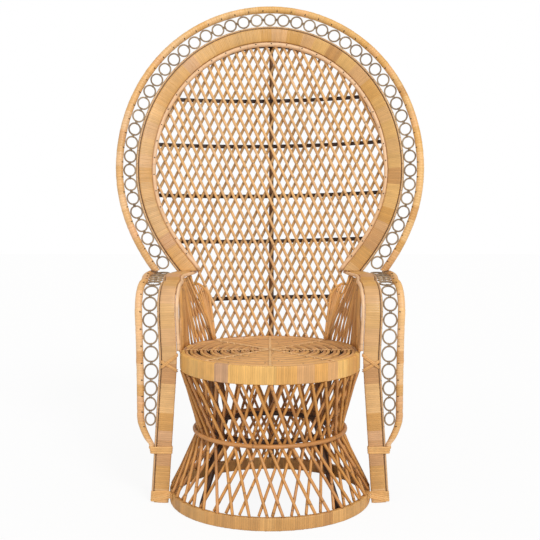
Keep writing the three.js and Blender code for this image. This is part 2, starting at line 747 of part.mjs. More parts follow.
// Outline inside which the back canes lie, as across and rise, from the crease round the fan
function backOutline() {
  const hidden = -ringLineOffset - halfBand / 2;
  const armTop = ARM_REAR_HEIGHT + bandFrontOut + 2 * BACK_CANE_DIAMETER;
  const fan = fanFrames.slice(0, FAN_STEPS + 1).filter((frame) => frame.place(hidden).z > armTop);
  const inset = BACK_CANE_DIAMETER;
  const neck = neckBand.x - innerMouldingEdge - 2 * inset;
  const footLift = BACK_CANE_DIAMETER / 2 + caneOut * Math.sin(BACK_LEAN) + 2 * CLEARANCE;
  const foot = count(OUTLINE_FOOT_STEPS + 1).map((i) => {
    const across = mix(0, CREASE_HALF_WIDTH - inset, i / OUTLINE_FOOT_STEPS);
    return [across, riseAtHeight(across, SEAT_HEIGHT + footLift)];
  });
  const right = [
    ...foot,
    [neck, bowEndRise - BAND_THICKNESS],
    [neck, riseAtHeight(0, armTop)],
    ...fan.map((frame) => frame.flat(hidden)),
  ];
  const left = right.slice(1, -1).map(([across, rise]) => [-across, rise]).reverse();
  return [...right, ...left];
}

// Longest piece of a line inside the outline, as its two ends
function clipped(outline, origin, heading) {
  const hits = [];
  outline.forEach((a, i) => {
    const b = outline[(i + 1) % outline.length];
    const sideOf = ([x, y]) => (x - origin[0]) * heading[1] - (y - origin[1]) * heading[0];
    const sa = sideOf(a);
    const sb = sideOf(b);
    if (sa < 0 === sb < 0) return;
    const share = sa / (sa - sb);
    const hit = [mix(a[0], b[0], share), mix(a[1], b[1], share)];
    hits.push((hit[0] - origin[0]) * heading[0] + (hit[1] - origin[1]) * heading[1]);
  });
  hits.sort((p, q) => p - q);
  let best = null;
  for (let i = 0; i + 1 < hits.length; i += 2) {
    if (!best || hits[i + 1] - hits[i] > best[1] - best[0]) best = [hits[i], hits[i + 1]];
  }
  return best;
}

// One family of back canes that runs to and fro as one strand, split in two halves.
// A strand turns where it crosses the other family: at each crossing where the shell is bowed most,
// and at every fourth one above.
function backCanes(layer) {
  const outline = backOutline();
  const heading = [-layer * Math.sin(BACK_CANE_TILT), Math.cos(BACK_CANE_TILT)];
  const across = [-heading[1], heading[0]];
  const step = BACK_DIAMOND_WIDTH * Math.cos(BACK_CANE_TILT);
  const reach = Math.ceil(FAN_TOP_RISE / step);
  const all = count(2 * reach + 1).map((k) => k - reach);
  const placeOn = (origin, t) => [origin[0] + heading[0] * t, origin[1] + heading[1] * t];
  const canes = [];
  for (const own of all) {
    const shift = (own + 0.5) * step;
    const origin = [across[0] * shift, FAN_WIDEST_RISE + across[1] * shift];
    const ends = clipped(outline, origin, heading);
    if (!ends || ends[1] - ends[0] < BAND_WIDTH) continue;
    const turnsAt = (other) => (own + other) % BACK_CANE_TURN_EVERY === 0;
    const turns = all
      .filter((other) => turnsAt(other) || crossingRise(own, other, layer, step) < 2 * bowEndRise)
      .map((other) => (crossingRise(own, other, layer, step) - origin[1]) / heading[1])
      .filter((t) => t > ends[0] + BACK_CANE_DIAMETER && t < ends[1] - BACK_CANE_DIAMETER)
      .sort((p, q) => p - q);
    canes.push([ends[0], ...turns, ends[1]].map((t) => placeOn(origin, t)));
  }
  const half = Math.ceil(canes.length / 2);
  return [canes.slice(0, half), canes.slice(half)].map((group) => {
    const flat = group.flatMap((cane, i) => (i % 2 ? [...cane].reverse() : cane));
    const points = flat.map(([x, rise]) => shellPoint(x, rise, layer * caneOut));
    printLeastGap('back canes', points, BACK_CANE_DIAMETER, 2);
    const apex = shellNormal(0, FAN_WIDEST_RISE).multiplyScalar(-layer);
    return roundRod(points, BACK_CANE_DIAMETER, CANE_SIDES, apex);
  });
}

// Rise at which a cane crosses one of the other family, by their numbers from the middle
const crossingRise = (own, other, layer, step) =>
  FAN_WIDEST_RISE + (layer * (other - own) * step) / (2 * Math.sin(BACK_CANE_TILT));

// Pole that runs round the fan behind its inner moulding, then down the creases to the seat
const poleOffset = -ringLineOffset - FRAME_POLE_INSET;

function poleCreaseLine() {
  const neck = fanFrames[0].place(poleOffset, poleOut);
  const straight = v3(neck.x, neck.y, ARM_REAR_HEIGHT - NECK_POLE_DROP_HEIGHT);
  const creaseRise = (straight.z - SEAT_HEIGHT) / 2;
  const poleRadius = SEAT_RADIUS + CLEARANCE + FRAME_POLE_DIAMETER / 2;
  const creaseAngle = Math.acos(CREASE_HALF_WIDTH / shellRadius);
  const crease = shellPoint(CREASE_HALF_WIDTH + FRAME_POLE_DIAMETER, creaseRise, poleOut);
  const seat = polar(poleRadius, creaseAngle, SEAT_HEIGHT);
  const foot = polar(poleRadius, creaseAngle, SEAT_HEIGHT - APRON_HEIGHT);
  return [foot, seat, crease, straight];
}

const poleRight = poleCreaseLine();
const poleFan = fanFrames.map((frame) => frame.place(poleOffset, poleOut));

function framePole() {
  const left = poleRight.map(mirrorX).reverse();
  return roundRod([...poleRight, ...poleFan, ...left], FRAME_POLE_DIAMETER, POLE_SIDES, v3(0, -1, 0));
}

// Across and rise of a point that lies at a distance out of the shell
function acrossAndRise(point, out) {
  const lean = v3(0, Math.sin(BACK_LEAN), Math.cos(BACK_LEAN));
  let [across, rise] = [point.x, point.clone().sub(shellPoint(0, 0)).dot(lean)];
  while (shellPoint(across, rise, out).distanceTo(point) > CLEARANCE) {
    const miss = point.clone().sub(shellPoint(across, rise, out));
    const step = [miss.x, miss.dot(lean)];
    if (Math.hypot(...step) < CLEARANCE / 10) break;
    across += step[0];
    rise += step[1];
  }
  return [across, rise];
}

const poleLine = [...poleRight.slice(2), ...poleFan.slice(0, FAN_STEPS + 1)].map((point) =>
  acrossAndRise(point, poleOut),
);

// Half width of the back inside the frame pole at a rise
function insidePole(rise) {
  const above = Math.max(1, poleLine.findIndex((point) => point[1] > rise));
  const [low, high] = [poleLine[above - 1], poleLine[above]];
  const slope = (high[0] - low[0]) / (high[1] - low[1]);
  const middle = low[0] + (rise - low[1]) * slope;
  return middle - (FRAME_POLE_DIAMETER / 2) * Math.hypot(1, slope) - CLEARANCE;
}

function slat(rise) {
  const edges = [rise - SLAT_HEIGHT / 2, rise + SLAT_HEIGHT / 2];
  const half = Math.min(...edges.map(insidePole)) - CLEARANCE;
  const near = shellBack;
  const far = near - SLAT_THICKNESS;
  const rings = count(SLAT_STEPS + 1).map((i) => {
    const across = mix(-half, half, i / SLAT_STEPS);
    return [
      shellPoint(across, edges[0], near),
      shellPoint(across, edges[1], near),
      shellPoint(across, edges[1], far),
      shellPoint(across, edges[0], far),
    ];
  });
  return skin(rings);
}

function spine() {
  const out = shellBack - SLAT_THICKNESS - CLEARANCE - SPINE_DIAMETER / 2;
  const top = FAN_TOP_RISE + poleOffset - FRAME_POLE_DIAMETER / 2 - CLEARANCE;
  const back = shellPoint(0, (FAN_TOP_RISE * Math.min(...SLAT_RISE_SHARES)) / 2, out);
  const seatY = SEAT_RADIUS + CLEARANCE + SPINE_DIAMETER / 2;
  const footY = FOOT_RADIUS + CLEARANCE + SPINE_DIAMETER / 2;
  const points = [
    shellPoint(0, top, out),
    back,
    v3(0, seatY, SEAT_HEIGHT - SPINE_DIAMETER / 2),
    v3(0, seatY, SEAT_HEIGHT - APRON_HEIGHT),
    v3(0, footY, FOOT_HOOP_HEIGHT),
    v3(0, footY, 0),
  ];
  return roundRod(points, SPINE_DIAMETER, POLE_SIDES, v3(1, 0, 0));
}

// Radii of the two layers of base canes at the seat, the waist and the foot
const baseTop = SEAT_HEIGHT - APRON_HEIGHT - CLEARANCE - BASE_CANE_DIAMETER / 2;
const baseBottom = FOOT_HOOP_HEIGHT + CLEARANCE + BASE_CANE_DIAMETER / 2;
const baseHeights = [baseTop, WAIST_HEIGHT, baseBottom];
const waistRingRadius = WAIST_RADIUS - WAIST_RING_DIAMETER / 2;
const waistInside = (waistRingRadius - WAIST_RING_DIAMETER / 2) * Math.cos(Math.PI / HOOP_FLATS);
const outerCaneRadii = [
  SEAT_RADIUS - BASE_CANE_DIAMETER / 2,
  waistInside - 2 * CLEARANCE - BASE_CANE_DIAMETER / 2,
  FOOT_RADIUS - BASE_CANE_DIAMETER / 2,
];
const coneSlopes = [0, 1].map((k) =>
  Math.atan2(Math.abs(outerCaneRadii[k] - outerCaneRadii[k + 1]), baseHeights[k] - baseHeights[k + 1]),
);
const caneLayerStep =
  (BASE_CANE_DIAMETER + CLEARANCE) / Math.cos(Math.max(...coneSlopes)) / Math.cos(BASE_TWIST / 2);
const innerCaneRadii = outerCaneRadii.map((radius) => radius - caneLayerStep);

// One sector of one family of base canes, as one strand that runs up and down
function baseCanes(radii, turn, sector) {
  const perSector = BASE_CANE_COUNT / BASE_SECTORS;
  const points = [];
  for (const i of count(perSector)) {
    const angle = (TAU * (sector * perSector + i)) / BASE_CANE_COUNT;
    const cane = [0, 1, 2].map((k) => polar(radii[k], angle + turn * k * BASE_TWIST, baseHeights[k]));
    points.push(...(i % 2 ? cane.reverse() : cane));
  }
  return points;
}

const baseCaneRod = (points) =>
  roundRod(points, BASE_CANE_DIAMETER, CANE_SIDES, v3(points[0].x, points[0].y, 0));

// Posts inside the canes, held in by the dip of the straight canes
const postRadii = innerCaneRadii.map(
  (radius) => radius * Math.cos(BASE_TWIST / 2) - BASE_CANE_DIAMETER / 2 - CLEARANCE - POST_DIAMETER / 2,
);

function basePost(angle) {
  const frameBottom = ribTop - RIB_DIAMETER - CLEARANCE - SEAT_FRAME_DIAMETER;
  const points = [
    polar(postRadii[0], angle, frameBottom - CLEARANCE),
    polar(postRadii[1], angle, WAIST_HEIGHT),
    polar(postRadii[2], angle, FOOT_HOOP_HEIGHT),
    polar(postRadii[2], angle, 0),
  ];
  return roundRod(points, POST_DIAMETER, POLE_SIDES, polar(1, angle + Math.PI / 2, 0));
}

// Seat pieces, from the top down
const seatPoleZ = SEAT_HEIGHT - SEAT_POLE_DIAMETER / 2;
const ribTop = SEAT_HEIGHT - SEAT_POLE_DIAMETER - CLEARANCE;
const edgePoleRadius = SEAT_RADIUS - APRON_THICKNESS - CLEARANCE - SEAT_POLE_DIAMETER / 2;
const coilOuterRadius = edgePoleRadius - SEAT_POLE_DIAMETER - CLEARANCE;
const seatFrameRadius = SEAT_RADIUS - APRON_THICKNESS - CLEARANCE - SEAT_FRAME_DIAMETER / 2;

// Angles of the coil's points, closer together where the coil is wide
function coilAngles() {
  const angles = [0];
  const radiusAt = (angle) => coilOuterRadius - (COIL_TURN_WIDTH * angle) / TAU;
  const innermost = COIL_INNER_RADIUS + SEAT_POLE_DIAMETER + COIL_PAIR_GAP;
  while (radiusAt(angles[angles.length - 1]) > innermost) {
    const angle = angles[angles.length - 1];
    const steps = Math.max(COIL_LEAST_STEPS, Math.round((TAU * radiusAt(angle)) / COIL_CHORD_LENGTH));
    angles.push(angle + TAU / steps);
  }
  return angles;
}

function coilPoints(inset) {
  return coilAngles().map((angle) =>
    polar(coilOuterRadius - inset - (COIL_TURN_WIDTH * angle) / TAU, angle, seatPoleZ),
  );
}

function seatRibs() {
  const z = ribTop - RIB_DIAMETER / 2;
  const arms = count(RIB_COUNT / 2).map((i) => {
    const angle = (TAU * i) / RIB_COUNT;
    const ends = [polar(seatFrameRadius, angle, z), polar(-seatFrameRadius, angle, z)];
    return rod(ends, boxSection(RIB_DIAMETER, RIB_DIAMETER), UP);
  });
  const hub = new THREE.CylinderGeometry(RIB_HUB_RADIUS, RIB_HUB_RADIUS, RIB_DIAMETER, RIB_COUNT);
  hub.rotateX(Math.PI / 2).translate(0, 0, z);
  return joined([...arms, hub]);
}

function buildSeat() {
  const apronBottom = SEAT_HEIGHT - APRON_HEIGHT;
  add('seat_apron', wrappedHoop(SEAT_RADIUS, APRON_THICKNESS, apronBottom, APRON_HEIGHT), wrapMaterial);
  const frameZ = ribTop - RIB_DIAMETER - CLEARANCE - SEAT_FRAME_DIAMETER / 2;
  add('seat_frame_hoop', hoop(seatFrameRadius, frameZ, SEAT_FRAME_DIAMETER, COIL_SIDES), darkMaterial);
  add('seat_ribs', seatRibs(), darkMaterial);
  add('seat_edge_pole', hoop(edgePoleRadius, seatPoleZ, SEAT_POLE_DIAMETER, COIL_SIDES), poleMaterial);
  const insets = { seat_coil_outer: 0, seat_coil_inner: SEAT_POLE_DIAMETER + COIL_PAIR_GAP };
  for (const [name, inset] of Object.entries(insets)) {
    const points = coilPoints(inset);
    printLeastGap(name, points, SEAT_POLE_DIAMETER, POLE_SIDES);
    add(name, roundRod(points, SEAT_POLE_DIAMETER, COIL_SIDES), poleMaterial);
  }
}

function buildBase() {
  add('foot_hoop', wrappedHoop(FOOT_RADIUS, FOOT_HOOP_THICKNESS, 0, FOOT_HOOP_HEIGHT), wrapMaterial);
  add('waist_ring', hoop(waistRingRadius, WAIST_HEIGHT, WAIST_RING_DIAMETER, COIL_SIDES), poleMaterial);
  const postFlat = (POST_DIAMETER / 2) * Math.cos(Math.PI / POLE_SIDES);
  const hoopRadius = postRadii[1] - postFlat - CLEARANCE - WAIST_HOOP_DIAMETER / 2;
  add('waist_hoop', hoop(hoopRadius, WAIST_HEIGHT, WAIST_HOOP_DIAMETER, COIL_SIDES), darkMaterial);
  ['rear_right', 'rear_left', 'front_left', 'front_right'].forEach((name, i) => {
    add(`base_post_${name}`, basePost(POST_TURN + (i * Math.PI) / 2), darkMaterial);
  });
  for (const sector of count(BASE_SECTORS)) {
    const outer = baseCanes(outerCaneRadii, 1, sector);
    const inner = baseCanes(innerCaneRadii, -1, sector);
    printLeastGap(`base canes ${sector + 1}`, outer, BASE_CANE_DIAMETER, 2);
    add(`base_canes_outer_${sector + 1}`, baseCaneRod(outer), caneMaterial);
    add(`base_canes_inner_${sector + 1}`, baseCaneRod(inner), caneMaterial);
  }
}

function buildBack() {
  add('spine', spine(), darkMaterial);
  add('back_frame_pole', framePole(), darkMaterial);
  SLAT_RISE_SHARES.forEach((share, i) => {
    add(`back_slat_${i + 1}`, slat(share * FAN_TOP_RISE), darkMaterial);
  });
  for (const [layer, side] of [[1, 'front'], [-1, 'rear']]) {
    backCanes(layer).forEach((geometry, i) => {
      add(`back_canes_${side}_${i + 1}`, geometry, caneMaterial);
    });
  }
}

function buildFan() {
  add('fan_rim', fanStrip(rimSection), wrapMaterial);
  const third = Math.round((2 * FAN_RINGS_EACH_SIDE + 1) / RING_CHAINS);
  const low = -FAN_RINGS_EACH_SIDE;
  add('fan_rings_left', fanRings(low, low + third - 1), ringMaterial);
  add('fan_rings_top', fanRings(low + third, low + 2 * third - 1), ringMaterial);
  add('fan_rings_right', fanRings(low + 2 * third, FAN_RINGS_EACH_SIDE), ringMaterial);
  add('fan_outer_moulding', fanStrip(outerMouldingSection), poleMaterial);
  add('fan_band', fanStrip(bandSection), wrapMaterial);
  add('fan_inner_moulding', fanStrip(innerMouldingSection), poleMaterial);
}

function buildArms() {
  addPair('arm_rim', armRim(), wrapMaterial);
  addPair('arm_rings', armRings(), ringMaterial);
  addPair('arm_outer_moulding', armStrip(outerMouldingSection), poleMaterial);
  addPair('arm_band', armStrip(bandSection), wrapMaterial);
  addPair('arm_inner_moulding', armStrip(innerMouldingSection, seatPlane), poleMaterial);
  addPair('arm_pole', armStrip(poleSection), darkMaterial);
  addPair('arm_rim_binding', rimBinding(), wrapMaterial);
  addPair('arm_seat_binding', crossBinding(), wrapMaterial);
  addPair('arm_canes_outer', panelCanes(1), caneMaterial);
  addPair('arm_canes_inner', panelCanes(-1), caneMaterial);
}

buildSeat();
buildBase();
buildBack();
buildFan();
buildArms();

// The model stands with its origin under the middle of its outline
const bounds = new THREE.Box3().setFromObject(chair);
const middle = bounds.getCenter(new THREE.Vector3());
chair.position.set(-middle.x, -middle.y, -bounds.min.z);

export default chair;
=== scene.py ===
"""Looks of the rattan peacock chair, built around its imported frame.

Lengths are in millimetres until a mesh is made, measured from the axis of the hourglass foot.
"""
import json
import math

import bpy
import numpy as np
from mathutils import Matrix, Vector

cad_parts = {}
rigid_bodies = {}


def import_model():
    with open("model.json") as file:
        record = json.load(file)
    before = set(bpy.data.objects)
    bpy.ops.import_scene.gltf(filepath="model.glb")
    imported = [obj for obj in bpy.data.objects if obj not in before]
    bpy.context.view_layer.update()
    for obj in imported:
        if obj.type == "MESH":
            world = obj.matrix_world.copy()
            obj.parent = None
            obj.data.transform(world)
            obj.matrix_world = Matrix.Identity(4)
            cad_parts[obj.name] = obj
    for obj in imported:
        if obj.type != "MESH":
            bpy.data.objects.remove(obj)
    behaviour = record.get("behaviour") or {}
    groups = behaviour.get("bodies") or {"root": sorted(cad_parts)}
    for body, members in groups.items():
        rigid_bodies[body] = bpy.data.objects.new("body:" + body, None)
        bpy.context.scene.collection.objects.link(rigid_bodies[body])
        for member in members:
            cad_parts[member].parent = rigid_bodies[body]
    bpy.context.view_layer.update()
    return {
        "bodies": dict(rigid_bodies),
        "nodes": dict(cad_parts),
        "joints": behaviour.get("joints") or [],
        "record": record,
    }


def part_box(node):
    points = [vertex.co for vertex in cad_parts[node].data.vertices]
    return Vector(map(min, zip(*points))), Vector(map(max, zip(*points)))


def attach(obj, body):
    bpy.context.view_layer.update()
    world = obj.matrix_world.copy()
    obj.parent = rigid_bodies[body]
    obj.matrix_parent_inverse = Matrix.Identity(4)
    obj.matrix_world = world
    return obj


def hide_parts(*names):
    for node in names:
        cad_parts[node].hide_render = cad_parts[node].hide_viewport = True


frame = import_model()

MM = 0.001
TAU = 2 * math.pi
X_AXIS, Y_AXIS, Z_AXIS = np.eye(3)
rng = np.random.default_rng(7)

# Driving sizes, the same as the frame's, with the slats' rises rounded
CLEARANCE = 0.3
SEAT_HEIGHT, SEAT_RADIUS, APRON_HEIGHT, APRON_THICKNESS = 430, 256, 50, 14
SEAT_POLE, COIL_PAIR_GAP, COIL_TURN, RIB, RIB_COUNT, SEAT_FRAME = 9, 1.5, 29, 12, 8, 18
FOOT_RADIUS, FOOT_HOOP_HEIGHT, FOOT_HOOP_THICKNESS = 287, 36, 14
WAIST_HEIGHT, WAIST_RADIUS, WAIST_RING, WAIST_HOOP, HOOP_FLATS = 206, 221, 12, 15, 40
BASE_CANE, BASE_CANE_COUNT, BASE_SECTORS, POST = 7, 40, 4, 16
BASE_TWIST, LEAN, NECK_ANGLE = math.radians(17), math.radians(9), math.radians(66)
BOW_RADIUS, CREASE_HALF_WIDTH, BACK_CANE, CANE_LAYER = 1000, 168, 8, 0.45
FAN_HALF_WIDTH, FAN_WIDEST_RISE = 430, 507
NECK_HALF_WIDTH, NECK_RISE, NECK_HANDLE, WIDEST_HANDLE = 285, 160, 30, 199
RIM, RING_CANE, RING_GAP, OUTER_MOULDING, INNER_MOULDING = 22, 5, 0.95, 7, 10
RING_WIDTH, RING_LENGTH_SHARE, RINGS_EACH_SIDE = 39, 1.18, 24
BAND_WIDTH, BAND_THICKNESS, BORDER_GAP = 44, 10, 1
FRAME_POLE, SPINE, SLAT_HEIGHT, SLAT_THICKNESS = 20, 15, 12, 6
SLAT_RISES = (738, 593.6, 436.2, 294.8, 119.5)
ARM_REAR_HEIGHT, ARM_CORNER_HEIGHT, ARM_CORNER_RADIUS, NECK_POLE_DROP = 614, 600, 75, 50
LEG_FRONT, KNEE_HEIGHT, LOWEST_RING_HEIGHT, EVEN_RING_HEIGHT = 56, 405, 236, 520
RIM_END_HEIGHT, RIM_CURL_HEIGHT, LOW_RING_WIDTH, KNEE_RING_WIDTH = 152, 85, 37, 45

# Sizes that the frame has too, but that differ from its own here to fit the photograph
FAN_TOP_RISE, ARM_CORNER_HALF_WIDTH, KNEE_GAP, POLE_INSET, CANE_TILT = 991, 289, 7, 20, math.radians(25)
OUTER_THICKNESS, INNER_THICKNESS, ARM_RIM, CREASE_POLE = 7.5, 8.5, 20.5, 14

# Sizes that only the looks have
ARM_BULGE, SLAT_TILT, SPINE_SHIFT, SPINE_TAPER, KNEE_CUT, HEEL = 18, 5, 4, 0.2, 30, 20
RIM_TUCK_HEIGHT, LOW_RIM_ROOM, KNEE_RIM_ROOM = 168, 33, 43.5
RIM_TIP_HEIGHT, RIM_TIP_SHARE, RIM_THIN_RISE = 143, 0.4, 40
BAND_TRIM, INNER_EXTRA, GROOVE = 1.2, 2.5, 2.0
KNOT, KNOT_CANE, KNOT_SHIFT, KNOT_REACH, RING_ROOM, ARM_RING_EXTRA = 0.8, 2.4, 2.2, 1.0, 0.6, 1.0
NAIL_PITCH, NAIL_INSET, SMALL_NAIL = 62, 2.6, (3.4, 2.2)
COIL_TURNS, COIL_EDGE_GAP, COIL_START, COIL_STEP_ARC, COIL_STEP_ANGLE = 7, 4, 0.45, 120, math.radians(95)
HUB_STEP, HUB_STEP_ANGLE, HUB_RADIUS, HUB_TURNS = 20, 1.4, 10, 1.1
TIE_WIDTH, TIE_THICKNESS, TIE_LIFT, TIE_DIP, TIE_DIP_LENGTH = 7.5, 1.4, 0.5, 6, 4
TIE_END_RADIUS, TIE_OVERHANG, TIE_EDGE_DROP = 7, 0.7, 3.2
LATTICE_PITCH, LATTICE_CANE, SHORTEST_CANE, LATTICE_OVERLAP, LATTICE_DROP = 26.9, 8.6, 30, 4, 2
PANEL_CANES, PANEL_CANE, PANEL_LEAN, PANEL_LAYER, PANEL_UNEVEN = 14, 6.2, 0.095, 3.2, 0.008
PANEL_RADIUS, PANEL_INSET, PANEL_DROP, PANEL_END = 252, 2.5, 5, 10
CORNER_CANES, CORNER_CANE, CORNER_EDGE_CANE, CORNER_OUT = 5, 5.8, 7.5, 10.5
CORNER_TOP, CORNER_TURN = np.array([230.0, 606.0]), np.array([189.0, 562.0])
TURN_WIDTH, TURN_THICKNESS, RIM_TURN_HEIGHTS = 6.8, 1.6, (146, 153, 160)
FOOT_STRAP, FOOT_STRAP_HEIGHTS, FOOT_STRAP_RISE = (5.6, 1.4), (3, 9, 15, 21, 27), 15
CROSS_STRAP, CROSS_STRAP_SHIFT, CROSS_STRAPS = (4.3, 1.5), 2.3, ((380, 405, 1.1), (424, 388, 2.4))

# Spacing of the canes' joints, then how much canes differ in thickness, joints and place
COIL_JOINTS, WAIST_JOINTS, POST_JOINTS, POLE_JOINTS, SPINE_JOINTS = 190, 310, 210, 330, 260
BASE_THICKNESSES, BASE_JOINTS, BASE_ANGLE_UNEVEN, BASE_TWIST_UNEVEN = (1.12, 1.26), (110, 190), 0.006, 0.03
LATTICE_THICKNESSES, LATTICE_JOINTS = (0.94, 1.05), (120, 210)
LATTICE_UNEVEN, LATTICE_WAVER, LATTICE_WAVE = 1.0, 0.9, (90, 160)
PANEL_THICKNESSES, PANEL_JOINTS, RING_THICKNESSES = (0.93, 1.03), (90, 170), (0.95, 1.04)

# Wound peel: pitch and groove depth, slant, unevenness and how much of a strip is its edge
HOOP_PEEL, BAND_PEEL, RIM_PEEL, STRIP_EDGE = (6.2, 0.7), (5.6, 0.45), (8.0, 0.5), 0.13
HOOP_SLANT, HOOP_UNEVEN, BORDER_UNEVEN, APRON_START = 0.02, 0.25, 0.3, -math.radians(28)

# Steps and overruns of the drawing
NEAR, CURVE_STEPS, FIT_STEPS, ARC_STEPS = 0.3, 1500, 2000, 25
ARM_TAIL, FAN_REACH, ARM_REACH = 80, 45, 60

# Colours and studio, with the floor and the camera's place in metres
# The warm tint is painted warm light, laid on the peel towards the top and the right
PAINTED_WARM_LIGHT, WORLD_COLOUR, FLOOR_COLOUR = (0.98, 0.96, 0.76, 1), (1, 0.985, 0.96, 1), (0.86, 0.86, 0.86, 1)
FLOOR_HALF, FLOOR_GLOW_SHARE, WORLD_LIGHT = 9.0, 0.9, 0.62
CAMERA_LENS, CAMERA_DISTANCE, CAMERA_HEIGHT, CAMERA_PITCH = 66.6, 2.8119, 0.9209, 5.35

low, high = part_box("foot_hoop")
SHIFT = np.array([(low.x + high.x) / 2, (low.y + high.y) / 2, 0.0]) / MM


def unit(v):
    v = np.asarray(v, float)
    return v / np.linalg.norm(v, axis=-1, keepdims=True)


def mix(a, b, t):
    return a + (b - a) * t


def smooth(t):
    t = np.clip(t, 0, 1)
    return t * t * (3 - 2 * t)


def dot(a, b):
    return (a * b).sum(-1, keepdims=True)


def circle_angles(n):
    """Angles of n points evenly round a circle."""
    return np.linspace(0, TAU, n, endpoint=False)


def polar(radius, angle, z):
    angle = np.asarray(angle, float)
    return np.stack([radius * np.cos(angle), radius * np.sin(angle), z + 0 * angle], -1)


def lengths_of(path):
    return np.concatenate([[0], np.cumsum(np.linalg.norm(np.diff(path, axis=0), axis=1))])


def along(path, lengths, at):
    """Points of a path at some of its lengths."""
    return np.stack([np.interp(at, lengths, column) for column in path.T], -1)


# Shell of the back: bowed to the seat below, flatter above
shell_radius = SEAT_RADIUS - BACK_CANE - CLEARANCE
crease_drop = shell_radius - math.sqrt(shell_radius**2 - CREASE_HALF_WIDTH**2)
seat_bow = crease_drop * math.cos(LEAN) / CREASE_HALF_WIDTH**2
fan_bow = 1 / (2 * BOW_RADIUS)
bow_end = (ARM_REAR_HEIGHT - SEAT_HEIGHT) / math.cos(LEAN)


def shell(across, rise, out=0.0):
    across, rise, out = (np.asarray(a, float) for a in (across, rise, out))
    left = np.clip(1 - rise / bow_end, 0, 1)
    forward = mix(fan_bow, seat_bow, left**2) * across**2
    y = shell_radius + math.sin(LEAN) * rise - math.cos(LEAN) * forward
    z = SEAT_HEIGHT + math.cos(LEAN) * rise + math.sin(LEAN) * forward
    point = np.stack(np.broadcast_arrays(across, y, z), -1)
    if np.any(out):
        point = point + shell_normal(across, rise) * out[..., None]
    return point


def shell_across(across, rise):
    return shell(across + NEAR, rise) - shell(across - NEAR, rise)


def shell_up(across, rise):
    return shell(across, rise + NEAR) - shell(across, rise - NEAR)


def shell_normal(across, rise):
    return unit(np.cross(shell_across(across, rise), shell_up(across, rise)))


def rise_at_height(across, height):
    return (height - SEAT_HEIGHT - seat_bow * across**2 * math.sin(LEAN)) / math.cos(LEAN)


cane_out = BACK_CANE / 2 + CANE_LAYER
shell_back = -(cane_out + BACK_CANE / 2 + CANE_LAYER)
border_back = BORDER_GAP - shell_back
border_middle = border_back + BAND_THICKNESS / 2
band_front = border_back + BAND_THICKNESS
pole_out = shell_back - FRAME_POLE / 2
half_band = BAND_WIDTH / 2
outer_edge = half_band + CLEARANCE + OUTER_MOULDING
inner_edge = half_band + CLEARANCE + INNER_MOULDING
ring_space = RING_WIDTH + 2 * RING_GAP
ring_offset = outer_edge + ring_space / 2
rim_offset = outer_edge + ring_space + RIM / 2


def fan_line():
    """Line of ring centres on the flat shell, from the neck to the top of the right half."""
    t = np.linspace(0, 1, CURVE_STEPS)[:, None]
    neck = np.array([NECK_HALF_WIDTH, NECK_RISE], float)
    widest = np.array([FAN_HALF_WIDTH, FAN_WIDEST_RISE], float)
    a = neck + NECK_HANDLE * np.array([math.cos(NECK_ANGLE), math.sin(NECK_ANGLE)])
    b = widest - np.array([0, WIDEST_HANDLE])
    lower = (1 - t) ** 3 * neck + 3 * (1 - t) ** 2 * t * a + 3 * (1 - t) * t**2 * b + t**3 * widest
    angle = np.linspace(0, math.pi / 2, CURVE_STEPS)[1:]
    tall = FAN_TOP_RISE - FAN_WIDEST_RISE
    upper = np.stack([FAN_HALF_WIDTH * np.cos(angle), FAN_WIDEST_RISE + tall * np.sin(angle)], -1)
    return np.concatenate([lower, upper])


fan_points = fan_line()
fan_lengths = lengths_of(fan_points)
fan_length = fan_lengths[-1]


class FanFrames:
    """Frames at lengths along the fan line, which runs on past the top down the left half."""

    def __init__(self, lengths, shift=0.0):
        lengths = np.atleast_1d(np.asarray(lengths, float))
        self.shift = shift
        self.past = lengths > fan_length
        s = np.where(self.past, 2 * fan_length - lengths, lengths)
        clipped = np.clip(s, 0, fan_length)
        ahead, behind = (along(fan_points, fan_lengths, clipped + d) for d in (1.5, -1.5))
        heading = unit(ahead - behind)
        self.spot = along(fan_points, fan_lengths, clipped) + heading * (s - clipped)[:, None]
        x, r = self.spot.T
        ax, up = shell_across(x, r) / (2 * NEAR), shell_up(x, r) / (2 * NEAR)
        self.tangent = unit(ax * heading[:, :1] + up * heading[:, 1:])
        self.normal = shell_normal(x, r)
        self.outward = unit(np.cross(self.tangent, self.normal))
        self.per = np.concatenate([dot(self.outward, v) / dot(v, v) for v in (ax, up)], 1)

    def turned(self, v):
        """Vectors mirrored where the frames are past the top."""
        return np.where(self.past[:, None], v * [-1, 1, 1], v)

    def flat(self, offset):
        return self.spot + (np.asarray(offset, float) + self.shift)[..., None] * self.per

    def place(self, offset, out=0.0):
        x, r = self.flat(offset).T
        return self.turned(shell(x, r, out + 0 * x))

    def headings(self):
        return self.turned(self.tangent) * np.where(self.past, -1, 1)[:, None]


def fan_length_at(height):
    lengths = np.linspace(0, fan_length / 2, FIT_STEPS)
    return float(np.interp(height, FanFrames(lengths).place(0)[:, 2], lengths))


neck_length = fan_length_at(ARM_REAR_HEIGHT)
neck_frame = FanFrames(neck_length)
fan_span = (neck_length, 2 * fan_length - neck_length)
rim_clear = border_middle + RIM / 2 + CLEARANCE
lowest_ring = fan_length_at(ARM_REAR_HEIGHT + rim_clear)
ring_pitch = (fan_length - lowest_ring) / (RINGS_EACH_SIDE + 0.5)
neck_band = neck_frame.place(-ring_offset)[0]
rear_normal = -unit(neck_frame.normal[0] * [1, 1, 0])
rear_point = neck_band + rear_normal * (-shell_back - CLEARANCE)


# Arm line on the right, from the floor up the leg, over the corner and back to the fan
def chord_half(radius, y):
    return math.sqrt(radius**2 - y**2)


